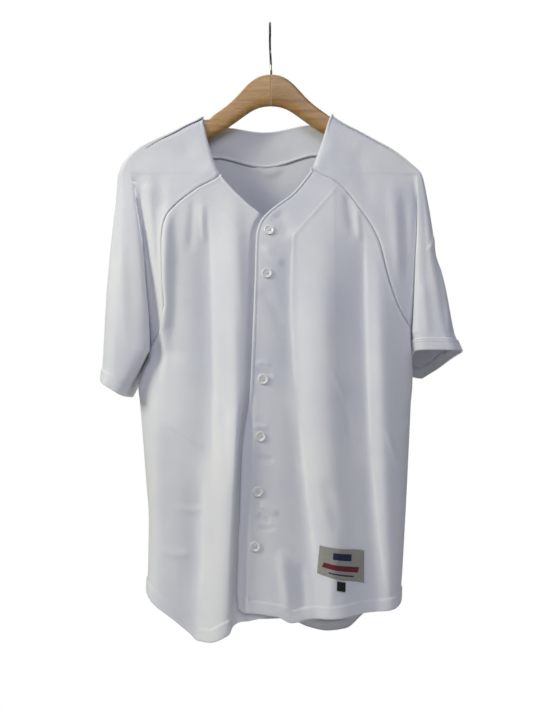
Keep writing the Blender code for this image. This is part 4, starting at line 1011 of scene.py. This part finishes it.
def facing_marks(lines, x, z):
    """Rise over the facing's edge inside: a ridge along each line, steeper on one side."""
    total = np.zeros(x.shape)
    for line in lines:
        d, way, _ = line_distance(x.ravel(), z.ravel(), *np.array(line).T)
        d, way = d.reshape(x.shape), way.reshape(x.shape)
        total += 0.5 * np.exp(-((d / np.where(way < 0, 1.5, 3.0)) ** 2)) * (d < 12)
    return total


def hem_profile(d):
    """Rise of the turned hem: a ledge where it begins, a slight sag between its two seams, a rounded lower edge."""
    return (HEM_RISE * ease((HEM_BAND + 1.0 - d) / 1.6) - 0.45 * bell(d, HEM_BAND - 2.2, 0.9)
            - 0.45 * bell(d, HEM_BAND - 6.5, 0.9) - 0.9 * ease((1.4 - d) / 1.4))


def tuck(side, x, z):
    """Front edge drawn back below the third button: the upper front turns in, the lower one dips under it."""
    t = x - along(NECK_LEFT, "z", "edge", z)
    deep = TUCK * ease((-560.0 - z) / 90.0)
    if side == "left":
        return -deep * ease((10.0 - t) / 10.0)
    return -(deep + 0.5 * (deep > 0.5)) * ease((14.0 - np.abs(t)) / 14.0 + 0.25 * (t < 0))


def front_cloth(side, columns):
    """One front: its section grid with creases, rolled edges, hem and facing lines; returns points and distances."""
    grid = front_grid(side, columns)
    way = -1.0 if side == "right" else 1.0
    x, z, y = grid[..., 0], grid[..., 2], grid[..., 1]
    arm = len(ARMHOLE_STEPS)
    seam = edge_distance(grid, grid[:arm, 0])
    edge = edge_distance(grid, grid[:, -1])
    hem = edge_distance(grid, grid[-1], 26.0)
    fade = ease(-y / 16.0)
    lift = crease_field(CREASES, x, z) * fade
    lift += facing_marks(FACING_LINES, x, z)
    top = ease((z + 330.0) / 50.0)
    lift += seam_line(seam)
    if side == "right":
        lift += 1.6 * bell(seam, 7.0, 5.0) * (1 - top)
    shows = ease((OVERLAP_TOP - z) / 6.0) if side == "right" else np.zeros(z.shape)
    lift += rolled_edge(edge, 1.0, 0.9, 0.45) * (1 - shows) * (seam > 2.0)
    lift += hem_profile(hem) * (seam > 3.0) * (1 - shows * ease((12.0 - edge) / 6.0))
    lift += tuck(side, x, z)
    if side == "right":
        under = ease((x - along(NECK_LEFT, "z", "edge", z) + 3.0) / 3.0) * (z < OVERLAP_TOP)
        lift = lift * (1 - under) + tuck(side, x, z) * under
    points = push_out(grid, way, lift)
    return points, way, dict(edge=edge, hem=hem)


def back_cloth(columns):
    """The back: its grid with creases, neck edge, raglan seams and hem."""
    grid = back_grid(columns)
    x, z, y = grid[..., 0], grid[..., 2], grid[..., 1]
    arm = len([1 for a in np.concatenate(levels("right")) if a < SIDES["right"]["back_z"] + 0.5])
    seam = np.minimum(edge_distance(grid, grid[:arm, 0]), edge_distance(grid, grid[:arm, -1]))
    neck = edge_distance(grid, grid[0])
    hem = edge_distance(grid, grid[-1], 26.0)
    lift = crease_field(BACK_CREASES, x, z) * ease(y / 16.0)
    lift += seam_line(seam)
    lift += rolled_edge(neck, 0.8, 0.8, 0.4) * (seam > 2.0)
    lift += hem_profile(hem) * (seam > 3.0)
    return push_out(grid, 1.0, lift), dict(hem=hem)


def sleeve_cloth(side, cells):
    """A sleeve: its grid with creases on both halves, raised seam edge, neck edge and turned hem."""
    grid, open_rows = sleeve_grid(side, cells)
    way = 1.0 if side == "right" else -1.0
    x, z, y = grid[..., 0], grid[..., 2], grid[..., 1]
    up = len(SHOULDER_STEPS)
    first = grid[up:open_rows + 1, 0]
    last = grid[:open_rows + 1, -1]
    neck_rows = grid[:up + 1, 0]
    back_top = int(np.sum(last[:, 2] > SIDES[side]["back_z"]))
    seam_front, seam_back = edge_distance(grid, first), edge_distance(grid, last[max(back_top - 1, 0):])
    neck = np.minimum(edge_distance(grid, neck_rows), edge_distance(grid, last[:back_top + 1]))
    hem = edge_distance(grid, grid[-1], 26.0)
    fade = ease(np.abs(y) / 14.0)
    lift = crease_field(SLEEVE_CREASES, x, z) * fade
    lift += facing_marks(FACING_LINES[1:2], x, z) * (y < 0)
    upper = ease((z + 345.0) / 60.0)
    raised = 1.5 * bell(seam_front, 1.7, 1.3) - 0.5 * bell(seam_front, 4.6, 1.2)
    lift += raised * (0.35 + 0.65 * upper) - 0.9 * bell(seam_front, 0.0, 1.1)
    lift += 0.8 * bell(seam_back, 1.9, 1.4) - 0.9 * bell(seam_back, 0.0, 1.1)
    lift += rolled_edge(neck, 1.0, 0.9, 0.45) * (np.minimum(seam_front, seam_back) > 2.0)
    lift += hem_profile(hem)
    points = push_out(grid, way, lift)
    rows = np.arange(open_rows, len(grid))
    points[rows, -1] = points[rows, 0]
    return points, way, open_rows, dict(hem=hem)


def wall_field(shape, hem):
    """Wall of the cloth, doubled over the turned hem."""
    return WALL + HEM_RISE * ease((HEM_BAND - hem) / 1.6)


def keep(obj, slot, *nodes):
    """Lets a piece ride on the body and hides the solids that it stands for; the slot is not used."""
    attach(obj, "root")
    if nodes:
        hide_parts(*nodes)
    return obj


SEWN = []
HEM_RUNS = [("hem", 11.5, 1), ("hem", 15.8, 1)]


def sew(points, way, fields, runs, closed_from=None):
    """Adds stitch lines: each run is a field's name, a distance, and columns (1) or rows (0)."""
    n = surface_normals(points, closed_from) * way
    for name, at, axis in runs:
        line = contour(points, n, fields[name], at, axis)
        if len(line) > 4:
            gap = np.linalg.norm(np.diff(line[:, :3], axis=0), axis=1)
            for part in np.split(line, np.nonzero(gap > 12.0)[0] + 1):
                SEWN.append(part)


RIGHT, WAY_R, FIELDS_R = front_cloth("right", 104)
LEFT, WAY_L, FIELDS_L = front_cloth("left", 116)
BACK, FIELDS_B = back_cloth(134)
fr = keep(cloth("front_right_cloth", RIGHT, WAY_R, wall_field(RIGHT.shape, FIELDS_R["hem"]), CLOTH_LOOK, half=-1),
          "white_woven_cloth", "front_right")
fl = keep(cloth("front_left_cloth", LEFT, WAY_L, wall_field(LEFT.shape, FIELDS_L["hem"]), CLOTH_LOOK, half=-1),
          "white_woven_cloth", "front_left")
bk = keep(cloth("back_cloth", BACK, 1.0, wall_field(BACK.shape, FIELDS_B["hem"]), CLOTH_LOOK, half=1),
          "white_woven_cloth", "back")
sew(RIGHT, WAY_R, FIELDS_R, HEM_RUNS)
sew(LEFT, WAY_L, FIELDS_L, HEM_RUNS + [("edge", 5.0, 0)])
sew(BACK, 1.0, FIELDS_B, HEM_RUNS)
for which in ("right", "left"):
    pts, way, open_rows, fields = sleeve_cloth(which, (18, 24, 30))
    keep(cloth("sleeve_%s_cloth" % which, pts, way, wall_field(pts.shape, fields["hem"]), CLOTH_LOOK,
                                open_rows), "white_woven_cloth", "sleeve_" + which)
    sew(pts, way, fields, HEM_RUNS, open_rows)
keep(stitches("hem_and_edge_stitching", SEWN, THREAD), "white_woven_cloth")


def facing_cloth():
    """Neck facing inside the back: rows of the body's own section below the neck edge, moved in past its wall,
    with a rolled lower edge and shallow wrinkles; at its sides it runs on inside the sleeves."""
    r, l = SIDES["right"], SIDES["left"]
    xa, xb = float(r["seam"]["back"][0]), float(l["seam"]["back"][0])
    depth = np.concatenate([np.linspace(0.0, 0.92, 32), np.linspace(0.935, 1.0, 9)])
    rows = []
    for d in depth:

        def level(x, d=d):
            t = np.clip((x - xa) / (xb - xa), 0.0, 1.0)
            top = r["back_z"] + (l["back_z"] - r["back_z"]) * t - NECK_DIP * np.sin(np.pi * t) ** 2 - 0.8
            return top - FACING_DROP * d * (0.86 + 0.14 * np.sin(np.pi * t))

        line = whole_back(level, xa - 14.0 - 26.0 * d, xb + 14.0 + 26.0 * d)
        rows.append(spread(line, 110))
    grid = np.array(rows)
    fall = np.broadcast_to((depth * FACING_DROP)[:, None], grid.shape[:2])
    low = (1 - depth)[:, None] * FACING_DROP
    rise = 1.0 * bell(low, 2.4, 2.0) + 0.7 * bell(fall, 2.0, 1.6)
    wrinkle = 1.3 * np.sin(grid[..., 0] * 0.07 + 0.8) * np.sin(np.pi * depth)[:, None] ** 2
    rise = rise + np.maximum(wrinkle, -0.6) + CLOTH + 1.3
    return grid[..., :3] - normals(grid) * rise[..., None]


facing = keep(cloth("neck_facing_cloth", facing_cloth(), -1.0, 0.7, CLOTH_LOOK), "white_woven_cloth", "neck_facing")


def hanger_half(name, sign, slot):
    """One glued half of the hanger: rounded sections from the middle joint to the tip, 104 stations of 48 points."""
    stops = np.concatenate([[0.12, 0.6], np.linspace(2.0, 205.0, 90), 205.0 + (HANGER_HALF - 205.0) * np.sin(
        np.linspace(0.12, 1.0, 12) * np.pi / 2)])
    rings = []
    a = np.linspace(0, 2 * np.pi, 48, endpoint=False)
    cx, sx = np.cos(a), np.sin(a)
    for q in stops:
        x = sign * q
        t = float(ease((q - 88.0) / 11.0))
        over = float(ridge(x))
        near = np.abs(q + np.linspace(-9.0, 9.0, 13))
        top = float(along(HANGER, "x", "top", near).mean()) * (1 - t) + (over - CLOTH - 1.4) * t
        low = float(along(HANGER, "x", "low", near).mean()) * (1 - t) + (over - HANGER_TALL - 3.0) * t
        thick = HANGER_HALF_THICK
        if q > 205:
            f = math.sqrt(max(1 - ((q - 205.0) / (HANGER_HALF - 205.0)) ** 2, 0.0)) * 0.75 + 0.25
            mid = 0.5 * (top + low) - 2.0
            top, low, thick = mid + (top - mid) * f, mid + (low - mid) * f, thick * (0.5 + 0.5 * f)
        chamfer = 0.55 if q < 0.5 else 0.0
        y = (thick - chamfer) * np.sign(cx) * np.abs(cx) ** (2 / 3.6)
        z = 0.5 * (top + low) + (0.5 * (top - low) - chamfer) * np.sign(sx) * np.abs(sx) ** (2 / 3.6)
        rings.append(np.column_stack([np.full(48, x), y, z]))
    return tube(name, np.array(rings), slot)


# the right half takes the beech copy with painted light, the left half the copy with painted shade
keep(hanger_half("hanger_right_wood", -1.0, WOOD_RIGHT_PAINTED_LIT), "clear_lacquered_beech", "hanger_right")
keep(hanger_half("hanger_left_wood", 1.0, WOOD_LEFT_PAINTED_SHADE), "clear_lacquered_beech", "hanger_left")


def hook_wire(slot):
    """Bent wire: upright stem, turn to the back and crook open to the front, tapered round nose, 20 points a ring."""
    r = HOOK_INNER + HOOK_WIRE / 2
    start, stop = math.radians(-62.0), math.radians(205.0)
    a = np.linspace(start, stop, 90)
    crook = np.column_stack([r * np.cos(a), -HOOK_INNER + r * np.sin(a)])
    t = np.linspace(0.0, 1.0, 28)[:-1, None]
    p0, p1, p3 = np.array([0.0, -60.0]), np.array([0.0, -50.0]), crook[0]
    p2 = p3 - np.array([-math.sin(start), math.cos(start)]) * 9.0
    bend = (1 - t) ** 3 * p0 + 3 * (1 - t) ** 2 * t * p1 + 3 * (1 - t) * t**2 * p2 + t**3 * p3
    path = np.vstack([[[0.0, -77.6], [0.0, -70.0], [0.0, -65.0]], bend, crook])
    tangent = np.gradient(path, axis=0)
    tangent /= np.linalg.norm(tangent, axis=1, keepdims=True)
    side = np.column_stack([-tangent[:, 1], tangent[:, 0]])
    b = np.linspace(0, 2 * np.pi, 20, endpoint=False)
    lean = np.interp(path[:, 1], [-77.0, -45.0, -18.0, 3.0], [0.7, -0.6, -1.4, -1.2])
    size = np.full(len(path), HOOK_WIRE / 2)
    size[-5:] *= (0.98, 0.92, 0.8, 0.6, 0.3)
    rings = [np.column_stack([q + s * np.cos(b), p[0] + s * np.sin(b) * n[0], p[1] + s * np.sin(b) * n[1]])
             for p, n, q, s in zip(path, side, lean, size)]
    return tube("hook_wire", np.array(rings), slot)


keep(hook_wire(STEEL), "dark_plated_steel", "hook")


def button_points():
    """Fine round button on its own axis: lathe profile of 31 points, four holes as wells."""
    r, h = BUTTON_DIAMETER / 2, BUTTON_THICK
    rad = np.concatenate([np.linspace(0.0, r - 3.4, 16), np.linspace(r - 3.1, r - 0.9, 9),
                          [r - 0.5, r - 0.2, r, r, r - 0.3, r - 0.9]])
    high = np.concatenate([np.full(16, h * 0.6), h * (0.6 + 0.4 * ease(np.linspace(0.12, 1.0, 9))),
                           [h * 0.98, h * 0.88, h * 0.7, h * 0.35, h * 0.12, 0.0]])
    a = np.linspace(0, 2 * np.pi, 64, endpoint=False)
    rr, aa = np.meshgrid(rad, a, indexing="ij")
    x, y = rr * np.cos(aa), rr * np.sin(aa)
    z = np.broadcast_to(high[:, None], rr.shape).copy()
    for hx, hy in ((-1, -1), (-1, 1), (1, -1), (1, 1)):
        d = np.hypot(x - hx * HOLE_AT, y - hy * HOLE_AT)
        z -= 1.3 * ease((1.05 - d) / 0.35)
    return np.stack([x, y, z], -1)


def seat(points, normal_points, x, z):
    """Where a button sits: its middle, its three directions and its lift above the cloth under it."""
    i, j = place(points, x, z)
    p = at_grid(points, np.array(i), np.array(j))
    n = at_grid(normal_points, np.array(i), np.array(j))
    n = n / np.linalg.norm(n)
    side = np.cross([0.0, 0.0, 1.0], n)
    side /= np.linalg.norm(side)
    up = np.cross(n, side)
    near = points.reshape(-1, 3) - p
    close = near[np.linalg.norm(near, axis=1) < BUTTON_DIAMETER / 2]
    return p, side, up, n, max(float((close @ n).max()), 0.0) + 0.1


BUTTON = button_points()
NORMALS_L = surface_normals(LEFT) * WAY_L
CROSS = []
for number, height in enumerate(BUTTON_HEIGHTS):
    p, side, up, n, lift = seat(LEFT, NORMALS_L, float(along(NECK_LEFT, "z", "edge", height)) + BUTTON_INSET, height)
    world = np.stack([side, up, n])
    points = BUTTON @ world + p + n * lift
    keep(tube("button_%d_resin" % (number + 1), points, RESIN), "white_cast_resin", "button_%d" % (number + 1))
    for half in (np.array([HOLE_AT, HOLE_AT]), np.array([HOLE_AT, -HOLE_AT])):
        t = np.linspace(-1.0, 1.0, 9)
        rise = BUTTON_THICK * 0.6 + 0.45 * (1 - t**2) - 0.5 * np.abs(t) ** 6
        centre = np.column_stack([t[:, None] * half, rise]) @ world + p + n * lift
        ring = np.linspace(0, 2 * np.pi, 8, endpoint=False)
        across = np.array([-half[1], half[0]]) / np.hypot(*half)
        spread_to = np.array([across[0], across[1], 0.0]) @ world
        CROSS.append(centre[:, None] + 0.42 * (np.cos(ring)[None, :, None] * spread_to
                                               + np.sin(ring)[None, :, None] * n * 0.7))
for k, rings in enumerate(CROSS):
    keep(tube("button_thread_%d" % (k + 1), rings, THREAD), "white_cast_resin")


def turning(outer, n):
    """Which way round a grid's rows run, as seen against the directions n."""
    return 1.0 if (np.cross(outer[1, 1] - outer[1, 0], outer[2, 1] - outer[1, 1]) @ n[1, 1]) > 0 else -1.0


def sewn_patch(name, corners, lift, wall, slot, rows, cols, puff=0.3):
    """Woven patch on the front: an even grid between four corners, its edge turned under."""
    (i0, j0), (i1, j1), (i2, j2), (i3, j3) = [place(LEFT, x, z) for x, z in corners]
    uu, vv = np.meshgrid(np.linspace(0, 1, cols), np.linspace(0, 1, rows))
    ii = (i0 * (1 - uu) + i1 * uu) * (1 - vv) + (i3 * (1 - uu) + i2 * uu) * vv
    jj = (j0 * (1 - uu) + j1 * uu) * (1 - vv) + (j3 * (1 - uu) + j2 * uu) * vv
    n = at_grid(NORMALS_L, ii, jj)
    n = n / np.linalg.norm(n, axis=2, keepdims=True)
    edge = np.minimum(np.minimum(uu, 1 - uu) * (cols - 1), np.minimum(vv, 1 - vv) * (rows - 1))
    height = lift + wall * (0.55 + 0.45 * ease(edge / 1.6)) + puff * ease(edge / 8.0) - 0.25 * bell(edge, 2.6, 0.8)
    outer = at_grid(LEFT, ii, jj) + n * height[..., None]
    return cloth(name, outer, turning(outer, n), height - lift * 0.3, slot), outer, n


LABEL_CORNERS = [(70.5, -796.0), (136.5, -806.0), (136.0, -853.0), (67.0, -836.5)]
patch_obj, PATCH, PATCH_N = sewn_patch("label_patch_damask", LABEL_CORNERS, 0.35, 0.8, LABEL, 49, 67)
keep(patch_obj, "grey_woven_label", "label_patch")
TAB_CORNERS = [(95.0, -846.5), (107.5, -849.5), (107.0, -863.0), (94.5, -860.0)]
tab_obj, _, _ = sewn_patch("size_tab_tape", TAB_CORNERS, 1.2, 0.5, TAB, 18, 16, 0.0)
keep(tab_obj, "black_woven_tab", "size_tab")


def bar_on_patch(name, u0, u1, v0, v1, slot, slant=0.0):
    """Raised woven bar on the patch, between shares of its width and height."""
    rows, cols = PATCH.shape[:2]
    uu, vv = np.meshgrid(np.linspace(u0, u1, 30), np.linspace(v0, v1, 10))
    uu = uu + slant * (vv - v0)
    outer = at_grid(PATCH, vv * (rows - 1), uu * (cols - 1))
    n = at_grid(PATCH_N, vv * (rows - 1), uu * (cols - 1))
    return cloth(name, outer + n * 0.35, turning(outer, n), 0.5, slot)


BARS = table("u0 u1 v0 v1 navy slant", [
    (0.3, 0.7, 0.16, 0.38, 1, 0),
    (0.12, 0.88, 0.55, 0.72, 0, -0.2),
    (0.24, 0.76, 0.83, 0.87, 1, 0)])
for k, (u0, u1, v0, v1, navy, slant) in enumerate(zip(*BARS.values())):
    keep(bar_on_patch("label_bar_%d" % (k + 1), u0, u1, v0, v1, NAVY if navy else MAROON, slant), "grey_woven_label")

# camera at the photograph's place: eye low in front, nearly level
camera_data = bpy.data.cameras.new("camera")
camera_data.lens = 42.466
camera_data.sensor_width = 36.0
camera_data.clip_start = 0.05
camera_data.clip_end = 50.0
camera = bpy.data.objects.new("camera", camera_data)
camera.location = (-0.0068, -1.3, -0.556)
camera.rotation_euler = (math.radians(91.67), 0.0, 0.0)
bpy.context.scene.collection.objects.link(camera)
bpy.context.scene.camera = camera


def area_light(name, spot, target, size, power, colour):
    """Soft box light at a spot, facing a target."""
    data = bpy.data.lights.new(name, "AREA")
    data.shape = "RECTANGLE"
    data.size, data.size_y = size
    data.energy = power
    data.color = linear(colour)[:3]
    lamp = bpy.data.objects.new(name, data)
    lamp.location = spot
    gap = np.array(spot) - np.array(target)
    lamp.rotation_euler = (math.acos(gap[2] / np.linalg.norm(gap)), 0.0, math.atan2(gap[0], -gap[1]))
    bpy.context.scene.collection.objects.link(lamp)


SKY_LIGHT = 0.16
area_light("key_softbox", (-2.2, -1.05, 0.75), (0.0, 0.0, -0.5), (0.7, 0.9), 44.0, "fffdea")
area_light("front_softbox", (0.2, -2.5, 1.5), (0.0, 0.0, -0.5), (1.5, 1.5), 34.0, "ebeeff")
area_light("top_softbox", (-0.3, 0.4, 1.4), (0.0, 0.0, -0.3), (1.6, 1.6), 14.0, "ffffff")
area_light("back_softbox", (0.9, 2.4, 0.9), (0.0, 0.0, -0.5), (1.4, 1.4), 34.0, "fbfbff")

world = bpy.data.worlds.new("studio")
bpy.context.scene.world = world
world.use_nodes = True
sky = world.node_tree.nodes["Background"]
sky.inputs["Color"].default_value = (0.965, 0.975, 1.0, 1.0)
sky.inputs["Strength"].default_value = SKY_LIGHT
bright = node(world.node_tree, "ShaderNodeBackground", {"Color": (1.0, 1.0, 1.0, 1.0), "Strength": 1.0})
seen = node(world.node_tree, "ShaderNodeLightPath").outputs["Is Camera Ray"]
both = node(world.node_tree, "ShaderNodeMixShader", {0: seen, 1: sky.outputs[0], 2: bright.outputs[0]})
world.node_tree.links.new(both.outputs[0], world.node_tree.nodes["World Output"].inputs["Surface"])

# floor: a flat ring far below the garment, from 0.26 to 1.55 m around its middle
floor_made, _, floor_shader = material("pale studio floor", Roughness=0.9)
floor_shader.inputs["Base Color"].default_value = linear("fbfbfb")
r, a = np.meshgrid(np.linspace(0.0, 1550.0, 7)[1:], np.linspace(0, 2 * np.pi, 65), indexing="ij")
rings = np.stack([r * np.cos(a), r * np.sin(a), np.full(r.shape, -1750.0)], -1)
cells = np.arange(r.size).reshape(r.shape)
quads = np.stack([cells[:-1, :-1], cells[1:, :-1], cells[1:, 1:], cells[:-1, 1:]], -1).reshape(-1, 4)
floor = mesh_from("studio_floor", rings.reshape(-1, 3), quads, floor_made)

bpy.context.scene.view_settings.view_transform = "Standard"
bpy.context.scene.view_settings.look = "None"
